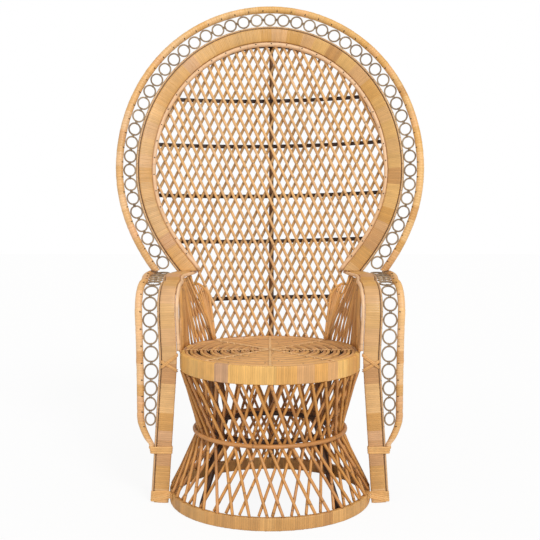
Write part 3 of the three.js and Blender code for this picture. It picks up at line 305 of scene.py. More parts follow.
leg_y = -LEG_FRONT + band_front
band_rear_y = leg_y - border_back
knee_x = chord_half(SEAT_RADIUS, band_rear_y) + KNEE_GAP + half_band
clear_height = FOOT_HOOP_HEIGHT + 2 * BASE_CANE
hoop_x = chord_half(FOOT_RADIUS, band_rear_y) + CLEARANCE + half_band
foot_x = (hoop_x - knee_x * clear_height / KNEE_HEIGHT) / (1 - clear_height / KNEE_HEIGHT)


def arm_line():
    corners = np.array([
        [foot_x, leg_y, 0],
        [knee_x, leg_y, KNEE_HEIGHT],
        [ARM_CORNER_HALF_WIDTH, leg_y, ARM_CORNER_HEIGHT],
        [neck_band[0], neck_band[1], ARM_REAR_HEIGHT],
    ], float)
    line = [corners[0] - unit(corners[1] - corners[0]) * HEEL, corners[0]]
    for i in (1, 2):
        back, ahead = unit(corners[i - 1] - corners[i]), unit(corners[i + 1] - corners[i])
        half = math.acos(float(np.clip(back @ ahead, -1, 1))) / 2
        longest = np.linalg.norm(corners[i + 1] - corners[i]) / 3
        cut = KNEE_CUT if i == 1 else min(ARM_CORNER_RADIUS / math.tan(half), longest)
        centre = corners[i] + unit(back + ahead) * cut / math.cos(half)
        start, end = corners[i] + back * cut, corners[i] + ahead * cut
        reach = np.linalg.norm(start - centre)
        for t in np.linspace(0, 1, ARC_STEPS):
            line.append(centre + unit(mix(start, end, t) - centre) * reach)
    for t in np.linspace(0, 1, ARC_STEPS)[1:-1]:
        bulge = ARM_BULGE * smooth(t / 0.6) * (1 - smooth((t - 0.66) / 0.34))
        line.append(mix(end, corners[3], t) + X_AXIS * bulge)
    tail = unit(corners[3] - line[-1])
    return np.array(line + [corners[3], corners[3] + tail * ARM_TAIL])


arm_points = arm_line()
arm_lengths = lengths_of(arm_points) - HEEL
arm_length, corner_end = arm_lengths[-2], arm_lengths[-ARC_STEPS - 1]


class ArmFrames:
    """Frames at lengths up the arm line."""

    def __init__(self, lengths):
        s = np.atleast_1d(np.asarray(lengths, float))
        self.spot, ahead, behind = (along(arm_points, arm_lengths, s + d) for d in (0, 3, -3))
        self.tangent = unit(ahead - behind)
        self.normal = unit(np.cross(X_AXIS, self.tangent))
        self.outward = np.cross(self.tangent, self.normal)

    def place(self, offset, out=0.0):
        offset, out = np.asarray(offset, float), np.asarray(out, float)
        return self.spot + self.outward * offset[..., None] + self.normal * out[..., None]

    def turned(self, v):
        """The same vectors, as all of the arm line is on the right."""
        return v

    def headings(self):
        return self.tangent


def arm_length_at(height):
    return float(np.interp(height, arm_points[:-1, 2], arm_lengths[:-1]))


def arm_room(length, end_height, low_width, knee_width):
    """Width beside an arm's outer moulding, which curls in to nothing at its lower end."""
    heights = (end_height, end_height + RIM_CURL_HEIGHT, KNEE_HEIGHT, EVEN_RING_HEIGHT)
    end, low_end, knee, even = (arm_length_at(height) for height in heights)
    space = np.interp(length, (low_end, knee, even), (low_width, knee_width, ring_space))
    return space * np.sin(np.clip((length - end) / (low_end - end), 0, 1) * math.pi / 2)


def ring_room(length):
    """Room that sets the pitch of an arm's rings."""
    return arm_room(length, RIM_END_HEIGHT, LOW_RING_WIDTH, KNEE_RING_WIDTH)


def rim_room(length):
    """Room between an arm's outer moulding and its rim."""
    return arm_room(length, RIM_TUCK_HEIGHT, LOW_RIM_ROOM, KNEE_RIM_ROOM)


def rim_share(height):
    """How thick an arm's rim is at a height, as a share of its whole thickness."""
    return mix(RIM_TIP_SHARE, 1, smooth((height - RIM_TIP_HEIGHT) / RIM_THIN_RISE))


class RimFrames(ArmFrames):
    """Frames of the inner side of an arm's rim, which thins towards its lower end."""

    def __init__(self, lengths):
        super().__init__(lengths)
        self.edge = outer_edge + rim_room(lengths)
        self.share = rim_share(self.spot[:, 2])

    def place(self, offset, out=0.0):
        out = border_middle + (out - border_middle) * self.share
        return super().place(self.edge + offset * self.share, out)


# Meshes
def linked(name, data):
    thing = bpy.data.objects.new(name, data)
    bpy.context.scene.collection.objects.link(thing)
    return thing


class Piece:
    """Collects grids of points into one mesh, with a UV map that runs along and round each grid."""

    def __init__(self):
        self.points, self.faces, self.uvs, self.total = [], [], [], 0

    def grid(self, rows, us, loop=False):
        rows, us = np.asarray(rows, float), np.asarray(us, float)
        n, m = rows.shape[:2]
        vs = np.linspace(0, 1, m + 1)
        index = np.arange(n * m).reshape(n, m)
        i = np.arange(n if loop else n - 1)[:, None]
        k = np.arange(m)[None, :]
        j, l = (i + 1) % n, (k + 1) % m
        quads = np.stack([index[i, k], index[i, l], index[j, l], index[j, k]], -1).reshape(-1, 4)
        one = np.ones_like(i * k)
        u0, u1, v0, v1 = us[i] * one, us[i + 1] * one, vs[k] * one, vs[k + 1] * one
        corners = ((u0, v0), (u0, v1), (u1, v1), (u1, v0))
        uv = np.stack([np.stack(corner, -1) for corner in corners], -2).reshape(-1, 4, 2)
        flat = rows.reshape(-1, 3)
        a, b, c, d = (flat[quads[:, q]] - flat.mean(0) for q in range(4))
        flip = (a * np.cross(b, c)).sum() + (a * np.cross(c, d)).sum() < 0
        order = slice(None, None, -1 if flip else 1)
        self.points.append(flat)
        self.faces.append(quads[:, order] + self.total)
        self.uvs.append(uv[:, order])
        if not loop:
            for end, u in ((index[0, ::-1], us[0]), (index[-1], us[-1])):
                self.faces.append(end[order][None, :] + self.total)
                self.uvs.append(np.tile([u, 0.5], (1, m, 1)))
        self.total += n * m
        return self

    def mirrored(self):
        copy = Piece()
        copy.points = [p * [-1, 1, 1] for p in self.points]
        copy.faces = [f[:, ::-1] for f in self.faces]
        copy.uvs = [u[:, ::-1] for u in self.uvs]
        return copy

    def make(self, name, slot, look, *nodes):
        points = (np.concatenate(self.points) + SHIFT) * MM
        mesh = bpy.data.meshes.new(name)
        sizes = np.concatenate([np.full(len(f), f.shape[1]) for f in self.faces])
        corners = np.concatenate([f.ravel() for f in self.faces])
        starts = np.concatenate([[0], np.cumsum(sizes)[:-1]])
        mesh.vertices.add(len(points))
        mesh.vertices.foreach_set("co", points.astype(np.float32).ravel())
        mesh.loops.add(len(corners))
        mesh.loops.foreach_set("vertex_index", corners.astype(np.int32))
        mesh.polygons.add(len(sizes))
        mesh.polygons.foreach_set("loop_start", starts.astype(np.int32))
        mesh.update(calc_edges=True)
        mesh.validate()
        mesh.polygons.foreach_set("use_smooth", np.ones(len(sizes), bool))
        uv = np.concatenate([u.reshape(-1, 2) for u in self.uvs])
        mesh.uv_layers.new(name="along").data.foreach_set("uv", uv.astype(np.float32).ravel())
        mesh.materials.append(look)
        thing = linked(name, mesh)
        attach(thing, "root")
        if nodes:
            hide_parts(*nodes)

    def make_pair(self, name, slot, look, *nodes):
        self.make(f"{name}_right", slot, look, *[f"{n}_right" for n in nodes])
        self.mirrored().make(f"{name}_left", slot, look, *[f"{n}_left" for n in nodes])


def resample(path, step):
    path = np.asarray(path, float)
    s = lengths_of(path)
    n = max(2, int(round(s[-1] / step)) + 1)
    return along(path, s, np.linspace(0, s[-1], n))


def bend(path, step, passes=3):
    """Path resampled and rounded off at its corners, with its ends kept."""
    path = resample(path, step)
    for _ in range(passes):
        path[1:-1] = (path[:-2] + 2 * path[1:-1] + path[2:]) / 4
    return path


def carried(path, up, loop=False):
    """Side and up vectors that turn with a path as little as they can."""
    ahead = np.roll(path, -1, 0) - np.roll(path, 1, 0) if loop else np.gradient(path, axis=0)
    tangents = unit(ahead)
    ups = np.empty_like(path)
    current = np.asarray(up, float)
    for i, t in enumerate(tangents):
        current = current - t * (current @ t)
        current = current / np.linalg.norm(current)
        ups[i] = current
    return np.cross(tangents, ups), ups


# Each cane has its own ten metres of the UV map, so that its material can tell it apart
cane_serial = iter(range(100000))


def cane_us(lengths):
    return lengths * MM + 10 * next(cane_serial)


def swept(piece, path, rows, loop):
    """Rows of points along a path, with UV in metres."""
    s = lengths_of(path)
    if loop:
        s = np.append(s, s[-1] + np.linalg.norm(path[0] - path[-1]))
    return piece.grid(rows, cane_us(s), loop=loop)


def cane(piece, path, diameter, sides=8, up=Z_AXIS, loop=False, knots=0.0, taper=0.0):
    """Round cane along a path, with the swollen joints that rattan has."""
    path = np.asarray(path, float)
    s = lengths_of(path)
    side, ups = carried(path, up, loop)
    radius = np.full(len(path), diameter / 2)
    if knots:
        total = s[-1] + (np.linalg.norm(path[0] - path[-1]) if loop else 0)
        for at in np.arange(rng.uniform(0, knots), total, knots):
            radius *= 1 + 0.09 * np.exp(-(((s - at) / 4.5) ** 2))
    radius *= np.linspace(1 - taper, 1 + taper, len(path))
    angles = circle_angles(sides)
    ring = np.cos(angles)[None, :, None] * side[:, None] + np.sin(angles)[None, :, None] * ups[:, None]
    return swept(piece, path, path[:, None] + ring * radius[:, None, None], loop)


def woven(piece, path, diameter, thicknesses, joints, up):
    """Cane of a weave, with a thickness and joints of its own."""
    cane(piece, path, diameter * rng.uniform(*thicknesses), up=up, knots=rng.uniform(*joints))


def strap(piece, path, width, thickness, up, loop=False):
    """Flat peel laid along a path, with its flat side facing up."""
    side, ups = carried(path, up, loop)
    outline = rounded_box(width, thickness, thickness * 0.45, 3)
    return swept(piece, path, np.stack([path + side * a + ups * b for a, b in outline], 1), loop)


def hoop(name, slot, look, node, radius, z, diameter, step=7, sides=12, knots=0):
    """Round cane bent to a level circle."""
    n = int(TAU * radius / step)
    path = polar(radius, np.arange(n) * TAU / n, z)
    cane(Piece(), path, diameter, sides, loop=True, knots=knots).make(name, slot, look, node)


def strip_lengths(start, end, pitch):
    """Lengths at which wound strips are cut, at their edges and middles, and the same as strip numbers."""
    n = max(1, int(round((end - start) / pitch)))
    marks = (np.arange(n)[:, None] + [0.0, STRIP_EDGE, 0.5, 1 - STRIP_EDGE]).ravel()
    marks = np.append(marks, n)
    return start + marks * (end - start) / n, marks


def strip_sink(marks, depth, uneven):
    """How far the skin of wound strips moves in at their edges and from strip to strip."""
    jitter = rng.normal(0, depth * uneven, int(marks.max()) + 2)[marks.astype(int)]
    part = marks % 1
    edge = np.minimum(part, 1 - part)
    return -depth * (1 - np.clip(edge / STRIP_EDGE, 0, 1)) ** 2 + jitter


def rounded_box(width, height, radius, steps=4):
    """Outline of a box with round corners, about its middle."""
    points = []
    for cx, cy, first in ((1, -1, -90), (1, 1, 0), (-1, 1, 90), (-1, -1, 180)):
        for angle in np.radians(first + np.linspace(0, 90, steps)):
            x, y = cx * (width / 2 - radius), cy * (height / 2 - radius)
            points.append([x + radius * math.cos(angle), y + radius * math.sin(angle)])
    return np.array(points)


def subdivided(outline, longest):
    """Closed outline with its long sides cut, so that they can be bowed."""
    out = []
    for a, b in zip(outline, np.roll(outline, -1, 0)):
        n = max(1, int(np.linalg.norm(b - a) / longest))
        out += [mix(a, b, k / n) for k in range(n)]
    return np.array(out)


def wound_hoop(outer, thickness, bottom, height, start=0.0):
    """Hoop wound with peel from an angle on."""
    profile = subdivided(rounded_box(thickness, height, 3.5), 9)
    profile += [outer - thickness / 2, bottom + height / 2]
    reach, middle = profile[:, 0].max(), profile.mean(0)
    outward = unit(profile - middle)
    pitch, depth = HOOP_PEEL
    lengths, marks = strip_lengths(0, TAU * reach, pitch)
    rows = []
    for length, sink in zip(lengths, strip_sink(marks[:-1], depth, HOOP_UNEVEN)):
        r, z = (profile + outward * sink).T
        angle = start + length / reach + HOOP_SLANT * (z - middle[1]) / reach
        rows.append(polar(r, angle, np.maximum(z, 0)))
    return Piece().grid(rows, marks, loop=True)


def clamp_to_plane(rows, point, normal, headings):
    """Points past a plane slide back on to it along their headings. Their distance past it comes too."""
    gap = ((rows - point) * normal).sum(-1)
    slope = (headings * normal).sum(-1)[:, None]
    back = np.where(gap > 0, gap / slope, 0)
    return rows - headings[:, None, :] * back[..., None], gap


def border(frames_of, start, end, section, peel, planes):
    """Strip of the border over lengths, wound where a peel is given, and cut off at planes."""
    if peel:
        lengths, us = strip_lengths(start, end, peel[0])
        sink = strip_sink(us, peel[1], BORDER_UNEVEN)
    else:
        lengths = np.linspace(start, end, int((end - start) / 6) + 2)
        us, sink = cane_us(lengths), 0
    frames = frames_of(lengths)
    low_corner, high_corner = section.min(0), section.max(0)
    outward = unit((section - (low_corner + high_corner) / 2) / (high_corner - low_corner))
    places = ((spot[0] + way[0] * sink, spot[1] + way[1] * sink) for spot, way in zip(section, outward))
    rows = np.stack([frames.place(offset, out) for offset, out in places], 1)
    keep = np.ones(len(rows), bool)
    for point, normal in planes:
        rows, gap = clamp_to_plane(rows, point, normal, frames.headings())
        keep &= gap.min(1) <= 0
    return Piece().grid(rows[keep], us[keep])


def flat_section(lo, hi, back, thickness, radius=3.0, crown=0.8):
    """Section of a flat band from one offset to another, a little crowned on its front."""
    outline = subdivided(rounded_box(hi - lo, thickness, radius), 8)
    x, y = outline.T
    y -= np.where(y > 0, crown * (x / ((hi - lo) / 2)) ** 2 * (y / (thickness / 2)), 0)
    return outline + [(lo + hi) / 2, back + thickness / 2]


def round_section(offset, out, diameter, sides=12):
    a = circle_angles(sides)
    return np.stack([offset + diameter / 2 * np.cos(a), out + diameter / 2 * np.sin(a)], -1)


def half_round(lo, hi, back, thickness, foot=1.2):
    """Section of a moulding that is flat behind and round in front."""
    a = np.linspace(0, math.pi, 9)
    across, out = (lo + hi) / 2 + (hi - lo) / 2 * np.cos(a), back + foot + (thickness - foot) * np.sin(a)
    return np.concatenate([np.stack([across, out], -1), [[lo, back], [hi, back]]])


# Materials
def srgb(r, g, b):
    lin = [c / 255 / 12.92 if c <= 10 else ((c / 255 + 0.055) / 1.055) ** 2.4 for c in (r, g, b)]
    return (*lin, 1.0)


class Nodes:
    """Node tree of a material or of the world, built node by node."""

    def __init__(self, owner):
        owner.use_nodes = True
        self.tree = owner.node_tree
        self.tree.nodes.clear()

    def add(self, kind, inputs=None, **settings):
        node = self.tree.nodes.new(kind)
        for key, value in settings.items():
            setattr(node, key, value)
        for key, value in (inputs or {}).items():
            if isinstance(value, bpy.types.NodeSocket):
                self.tree.links.new(value, node.inputs[key])
            else:
                node.inputs[key].default_value = value
        return node

    def math(self, operation, a, b=0.0, c=0.0):
        return self.add("ShaderNodeMath", {0: a, 1: b, 2: c}, operation=operation).outputs[0]

    def put_out(self, output, share, first, second):
        """Ends the tree with two shaders mixed by a share."""
        shaders = {0: share, 1: first.outputs[0], 2: second.outputs[0]}
        self.add(output, {0: self.add("ShaderNodeMixShader", shaders).outputs[0]})


class Look(Nodes):
    """One material of the chair, with places along and round each cane or strip."""

    def __init__(self, name):
        self.material = bpy.data.materials.new(name)
        super().__init__(self.material)
        self.u, self.v = self.split(self.add("ShaderNodeUVMap", uv_map="along").outputs[0])[:2]
        self.place = self.add("ShaderNodeTexCoord").outputs["Object"]

    def split(self, vector):
        return self.add("ShaderNodeSeparateXYZ", {0: vector}).outputs[:]

    def vector(self, x=0.0, y=0.0, z=0.0):
        return self.add("ShaderNodeCombineXYZ", {0: x, 1: y, 2: z}).outputs[0]

    def spread(self, value, lo, hi, to_lo=0.0, to_hi=1.0, smooth=False):
        """Value moved from one range to another and kept inside it."""
        ranges = {"Value": value, "From Min": lo, "From Max": hi, "To Min": to_lo, "To Max": to_hi}
        kind = "SMOOTHSTEP" if smooth else "LINEAR"
        return self.add("ShaderNodeMapRange", ranges, interpolation_type=kind).outputs[0]

    def white(self, w):
        return self.add("ShaderNodeTexWhiteNoise", {"W": w}, noise_dimensions="1D").outputs[0]

    def noise(self, vector, scale, detail, roughness=0.5):
        values = {"Vector": vector, "Scale": scale, "Detail": detail, "Roughness": roughness}
        return self.add("ShaderNodeTexNoise", values, noise_dimensions="3D").outputs[0]

    def cells(self, w, scale, randomness, **settings):
        values = {"W": w, "Scale": scale, "Randomness": randomness}
        return self.add("ShaderNodeTexVoronoi", values, voronoi_dimensions="1D", **settings).outputs

    def ramp(self, factor, stops):
        node = self.add("ShaderNodeValToRGB", {0: factor})
        elements = node.color_ramp.elements
        while len(elements) < len(stops):
            elements.new(0.5)
        for element, (at, *colour) in zip(elements, stops):
            element.position = at
            element.color = srgb(*colour)
        return node.outputs[0]

    def multiply(self, colour, other, amount=1.0):
        values = {"Factor": amount, "A": colour, "B": other}
        return self.add("ShaderNodeMix", values, data_type="RGBA", blend_type="MULTIPLY").outputs["Result"]

    def tint(self, colour, value, *spread):
        """Colour times a grey factor, which a value spread over a range gives."""
        factor = self.spread(value, *spread)
        grey = self.add("ShaderNodeCombineColor", {0: factor, 1: factor, 2: factor}).outputs[0]
        return self.multiply(colour, grey)

    def fibre(self, number, along, around, roughness):
        """Fine noise drawn out along a cane or strip, its own for each number."""
        x, y = self.math("MULTIPLY", self.u, along), self.math("MULTIPLY", self.v, around)
        return self.noise(self.vector(x, y, number), 1.0, 3.0, roughness)

    def finish(self, colour, roughness, height, bump, distance):
        relief = {"Strength": bump, "Distance": distance, "Height": height}
        normal = self.add("ShaderNodeBump", relief).outputs[0]
        surface = {"Base Color": colour, "Roughness": roughness, "Normal": normal}
        shader = self.add("ShaderNodeBsdfPrincipled", surface)
        self.add("ShaderNodeOutputMaterial", {0: shader.outputs[0]})
        return self.material


def peel_look(name, *stops, patch, streak, groove, tone):
    """Flat peel wound in strips: u counts the strips, v goes round the band."""
    k = Look(name)
    strip = k.math("FLOOR", k.u)
    part = k.math("SUBTRACT", k.u, strip)
    patches = k.cells(k.math("DIVIDE", strip, patch), 1.0, 1.0)
    shade = k.add("ShaderNodeSeparateColor", {0: patches["Color"]}).outputs[0]
    colour = k.ramp(shade, stops)
    soft = k.noise(k.vector(k.math("DIVIDE", k.u, 34.0)), 1.0, 1.0)
    colour = k.tint(colour, soft, 0.3, 0.7, 0.9, 1.06)
    colour = k.tint(colour, k.white(strip), 0, 1, 1 - tone, 1 + tone / 2)
    fibre = k.fibre(strip, 9.0, 5.0, 0.6)
    colour = k.tint(colour, fibre, 0.3, 0.7, 1 - streak, 1 + streak / 3)
    # Each strip is darker at its edges, by the groove factor: painted shade in the seams between strips
    edge = k.math("MINIMUM", part, k.math("SUBTRACT", 1.0, part))
    colour = k.tint(colour, edge, 0.0, 0.1, groove, 1.0, True)
    colour = k.tint(colour, k.noise(k.place, 26.0, 3.0, 0.6), 0.35, 0.7, 1.02, 0.9)
    # Peel is tinted warmer towards the top and the right of the chair: painted warm light
    right, _, above = k.split(k.place)
    painted_warm_light = k.math("MULTIPLY_ADD", above, 0.8, k.math("SUBTRACT", right, 0.76))
    colour = k.multiply(colour, PAINTED_WARM_LIGHT, k.spread(painted_warm_light, -0.25, 0.35))
    return k.finish(colour, k.spread(fibre, 0.2, 0.8, 0.36, 0.52), fibre, 0.35, 0.0003)


def cane_look(name, *stops, streak=0.25, joint=0.55, joint_scale=4.2, rough=(0.38, 0.55), bark=0.0):
    """Round cane: u is metres along it with tens for each cane, v goes round it."""
    k = Look(name)
    number = k.math("FLOOR", k.math("DIVIDE", k.u, 10.0))
    slow = k.noise(k.vector(k.math("MULTIPLY", k.u, 3.1)), 1.0, 1.0)
    shade = k.math("ADD", k.math("MULTIPLY", k.white(number), 0.62), k.spread(slow, 0.3, 0.7, 0.0, 0.38))
    colour = k.ramp(shade, stops)
    fibre = k.fibre(number, 22.0, 9.0, 0.65)
    colour = k.tint(colour, fibre, 0.3, 0.7, 1 - streak, 1 + streak / 4)
    gap = k.cells(k.u, joint_scale, 0.8, feature="DISTANCE_TO_EDGE")["Distance"]
    colour = k.tint(colour, gap, 0.0, 0.014 * joint_scale / 4, joint, 1.0, True)
    colour = k.tint(colour, k.noise(k.place, 40.0, 3.0, 0.6), 0.4, 0.75, 1.02, 0.82 - bark)
    height = k.math("SUBTRACT", fibre, k.spread(gap, 0.0, 0.02, 0.8, 0.0, True))
    return k.finish(colour, k.spread(fibre, 0.2, 0.8, *rough), height, 0.4, 0.0004)


# Each stop of a look's colours is its place on the ramp and its red, green and blue
rim_look = peel_look(
    "rim_peel", (0.0, 226, 172, 104), (0.35, 232, 182, 120), (0.6, 240, 194, 142), (0.8, 238, 184, 132),
    (1.0, 214, 158, 92), patch=5.0, streak=0.1, groove=0.86, tone=0.06)
band_look = peel_look(
    "band_peel", (0.0, 210, 156, 86), (0.3, 220, 168, 101), (0.55, 224, 177, 117), (0.78, 219, 170, 124),
    (1.0, 196, 141, 80), patch=10.0, streak=0.14, groove=0.8, tone=0.09)
apron_look = peel_look(
    "apron_peel", (0.0, 250, 200, 118), (0.3, 242, 186, 104), (0.55, 236, 174, 94), (0.75, 214, 166, 124),
    (1.0, 186, 140, 104), patch=7.5, streak=0.24, groove=0.7, tone=0.14)
foot_look = peel_look(
    "foot_peel", (0.0, 226, 174, 106), (0.4, 214, 160, 92), (0.7, 204, 152, 90), (1.0, 184, 132, 76),
    patch=6.5, streak=0.2, groove=0.68, tone=0.14)
pole_look = cane_look(
    "pole_cane", (0.0, 234, 180, 106), (0.4, 224, 170, 106), (0.7, 236, 184, 132), (1.0, 200, 146, 82))
waist_look = cane_look("waist_cane", (0.0, 204, 140, 74), (0.5, 186, 124, 62), (1.0, 214, 152, 90))
moulding_look = cane_look(
    "moulding_cane", (0.0, 238, 196, 148), (0.5, 240, 200, 160), (1.0, 230, 184, 134),
    streak=0.12, joint=0.78)
outer_moulding_look = cane_look(
    "outer_moulding_cane", (0.0, 226, 186, 136), (0.5, 212, 172, 128), (1.0, 232, 190, 138),
    streak=0.2, joint=0.7)
# Dark strip between a band and its outer moulding: painted shade
painted_groove_shade_look = cane_look("groove", (0.0, 108, 78, 52), (1.0, 128, 94, 64), streak=0.3, joint=1.0)
coil_look = cane_look(
    "coil_cane", (0.0, 206, 150, 96), (0.4, 192, 138, 96), (0.7, 214, 160, 104), (1.0, 182, 128, 82))
weave_look = cane_look(
    "weave_cane", (0.0, 242, 190, 122), (0.35, 230, 178, 114), (0.6, 238, 192, 138), (0.8, 210, 156, 96),
    (1.0, 246, 202, 144), joint_scale=5.2, streak=0.2)
# The rear layer's canes are the front layer's cane, darker: painted shade
shaded_rear_weave_look = cane_look(
    "rear_weave_cane_painted_shade", (0.0, 216, 168, 102), (0.35, 200, 154, 94), (0.6, 204, 164, 112),
    (0.8, 176, 132, 78), (1.0, 222, 176, 116), joint_scale=5.2, streak=0.2)
panel_look = cane_look(
    "panel_cane", (0.0, 244, 186, 104), (0.35, 226, 166, 90), (0.6, 234, 178, 112), (0.8, 196, 138, 74),
    (1.0, 246, 196, 126), joint_scale=5.2, joint=0.5)
base_look = cane_look(
    "base_cane", (0.0, 226, 162, 86), (0.35, 206, 144, 70), (0.65, 214, 152, 90), (0.85, 178, 118, 58),
    (1.0, 230, 170, 100), joint_scale=5.2, joint=0.5)
ring_look = cane_look(
    "ring_cane", (0.0, 166, 142, 112), (0.4, 148, 124, 98), (0.7, 180, 154, 120), (1.0, 132, 110, 86),
    joint=0.75, rough=(0.5, 0.66))
dark_look = cane_look(
    "dark_pole", (0.0, 84, 52, 29), (0.5, 66, 40, 22), (1.0, 102, 66, 38),
    streak=0.4, joint=1.6, rough=(0.5, 0.65), bark=0.15)
post_look = cane_look(
    "upper_post", (0.0, 150, 100, 54), (0.5, 128, 84, 44), (1.0, 168, 114, 62), streak=0.3, joint=0.6)
spine_look = cane_look(
    "spine_pole", (0.0, 146, 100, 56), (0.5, 122, 82, 44), (1.0, 160, 112, 64),
    streak=0.35, joint=0.6, rough=(0.5, 0.65), bark=0.1)
slat_look = cane_look(
    "dark_slat", (0.0, 64, 38, 22), (0.5, 52, 30, 18), (1.0, 80, 50, 28),
    streak=0.4, joint=1.0, rough=(0.5, 0.7), bark=0.15)
tie_look = cane_look(
    "tie_peel", (0.0, 236, 186, 122), (0.5, 226, 172, 104), (1.0, 212, 156, 92), streak=0.16, joint=1.0)
# The seat's ties are the bindings' peel, lighter: painted highlight
highlit_seat_tie_look = cane_look(
    "seat_tie_peel_painted_highlight", (0.0, 246, 204, 148), (0.5, 236, 190, 132), (1.0, 226, 178, 118),
    streak=0.14, joint=1.0)
nail_look = cane_look("nail", (0.0, 44, 30, 22), (1.0, 62, 44, 32), streak=0.3, joint=1.0)


# Seat
seat_pole_z = SEAT_HEIGHT - SEAT_POLE / 2
rib_top = SEAT_HEIGHT - SEAT_POLE - CLEARANCE
edge_radius = SEAT_RADIUS - APRON_THICKNESS - CLEARANCE - SEAT_POLE / 2
coil_radius = edge_radius - SEAT_POLE - CLEARANCE
frame_radius = SEAT_RADIUS - APRON_THICKNESS - CLEARANCE - SEAT_FRAME / 2
frame_z = rib_top - RIB - CLEARANCE - SEAT_FRAME / 2


def coil_ring(number, past):
    """Radius of the coil's outer cane at an angle past the place behind the seat where each ring steps in."""
    ring = coil_radius - COIL_EDGE_GAP - COIL_TURN * number
    if number == 0:
        return ring + 0 * past
    if number == COIL_TURNS:
        return ring + COIL_TURN - HUB_STEP * smooth(past / HUB_STEP_ANGLE)
    return ring + COIL_TURN * (1 - smooth(past * (ring + COIL_TURN) / COIL_STEP_ARC))


def coil_path(inset):
    points = []
    for number in range(COIL_TURNS + 1):
        past = np.linspace(0 if number else COIL_START, TAU, 300)[:-1]
        points.append(polar(coil_ring(number, past) - inset, COIL_STEP_ANGLE + past, seat_pole_z))
    return np.concatenate(points)


def radial_tie(piece, angle):
    """Peel that runs in from the edge pole over each pair of coil turns and dips between the pairs."""
    radius = np.linspace(TIE_END_RADIUS, edge_radius + SEAT_POLE / 2, 200)
    past_step = (angle - COIL_STEP_ANGLE) % TAU
    pairs = np.array([coil_ring(number, past_step) for number in range(COIL_TURNS)])
    pairs = pairs - (SEAT_POLE + COIL_PAIR_GAP) / 2
    half_pair = SEAT_POLE + COIL_PAIR_GAP / 2
    dip = np.abs(radius[:, None] - pairs).min(axis=1) - half_pair - TIE_OVERHANG
    dip = np.clip(dip / TIE_DIP_LENGTH, 0, 1)
    dip *= (radius > pairs[-1] - half_pair) & (radius < pairs[0] + half_pair)
    over_edge = np.clip((radius - edge_radius) / (SEAT_POLE / 2), 0, 1)
    z = SEAT_HEIGHT + TIE_LIFT - TIE_DIP * dip**1.5 - TIE_EDGE_DROP * over_edge**2
    path = polar(1, angle, 0) * radius[:, None] + Z_AXIS * z[:, None]
    strap(piece, path, TIE_WIDTH, TIE_THICKNESS, Z_AXIS)


def build_seat():
    wrap = wound_hoop(SEAT_RADIUS, APRON_THICKNESS, SEAT_HEIGHT - APRON_HEIGHT, APRON_HEIGHT, APRON_START)
    wrap.make("seat_apron_wrap", "wrapped_peel", apron_look, "seat_apron")
    hoop("seat_edge", "round_pole", pole_look, "seat_edge_pole", edge_radius, seat_pole_z, SEAT_POLE, 7, 10)
    for name, inset, look in (("outer", 0, pole_look), ("inner", SEAT_POLE + COIL_PAIR_GAP, coil_look)):
        coil = cane(Piece(), resample(coil_path(inset), 6), SEAT_POLE, 10, knots=COIL_JOINTS)
        coil.make(f"seat_coil_{name}_cane", "round_pole", look, f"seat_coil_{name}")
    angles = np.linspace(0, HUB_TURNS * TAU, 60)
    hub = polar(mix(HUB_RADIUS, 1, angles / angles[-1]), COIL_STEP_ANGLE + angles, seat_pole_z)
    cane(Piece(), hub, SEAT_POLE, 10).make("seat_hub_coil", "round_pole", pole_look)
    hoop("seat_frame_bent", "dark_pole", dark_look, "seat_frame_hoop", frame_radius, frame_z, SEAT_FRAME, 12)
    ribs, ties = Piece(), Piece()
    reach = frame_radius + SEAT_FRAME / 2
    for i in range(RIB_COUNT // 2):
        ends = [polar(radius, TAU * i / RIB_COUNT, rib_top - RIB / 2) for radius in (reach, -reach)]
        cane(ribs, resample(ends, 20), RIB, 10)
    ribs.make("seat_rib_poles", "dark_pole", dark_look, "seat_ribs")
    for i in range(RIB_COUNT):
        radial_tie(ties, TAU * i / RIB_COUNT)
    # Ties lighter than the bindings: painted highlight
    ties.make("seat_radial_ties", "wrapped_peel", highlit_seat_tie_look)


# Base
base_heights = np.array([
    SEAT_HEIGHT - APRON_HEIGHT - CLEARANCE - BASE_CANE / 2, WAIST_HEIGHT,
    FOOT_HOOP_HEIGHT + CLEARANCE + BASE_CANE / 2,
])
waist_ring_radius = WAIST_RADIUS - WAIST_RING / 2
waist_inside = (waist_ring_radius - WAIST_RING / 2) * math.cos(math.pi / HOOP_FLATS)
outer_radii = np.array([
    SEAT_RADIUS - BASE_CANE / 2, waist_inside - 2 * CLEARANCE - BASE_CANE / 2, FOOT_RADIUS - BASE_CANE / 2,
])
steepest = max(
    math.atan2(abs(outer_radii[k] - outer_radii[k + 1]), base_heights[k] - base_heights[k + 1])
    for k in (0, 1)
)
layer_step = (BASE_CANE + CLEARANCE) / math.cos(steepest) / math.cos(BASE_TWIST / 2)
inner_radii = outer_radii - layer_step
post_radii = inner_radii * math.cos(BASE_TWIST / 2) - BASE_CANE / 2 - CLEARANCE - POST / 2


def base_post(name, angle):
    """Post inside the hourglass, dark below the waist and lighter above it."""
    heights = (frame_z - SEAT_FRAME / 2 - CLEARANCE, WAIST_HEIGHT, FOOT_HOOP_HEIGHT, 0)
    radii = post_radii[[0, 1, 2, 2]]
    path = bend([polar(radius, angle, z) for radius, z in zip(radii, heights)], 8, 2)
    waist = int(np.argmin(np.abs(path[:, 2] - WAIST_HEIGHT)))
    up = polar(1, angle, 0)
    cane(Piece(), path[waist:], POST, 12, up, knots=POST_JOINTS).make(
        f"base_post_{name}_pole", "dark_pole", dark_look, f"base_post_{name}")
    cane(Piece(), path[:waist + 1], POST, 12, up, knots=POST_JOINTS).make(
        f"base_post_{name}_upper", "round_pole", post_look)


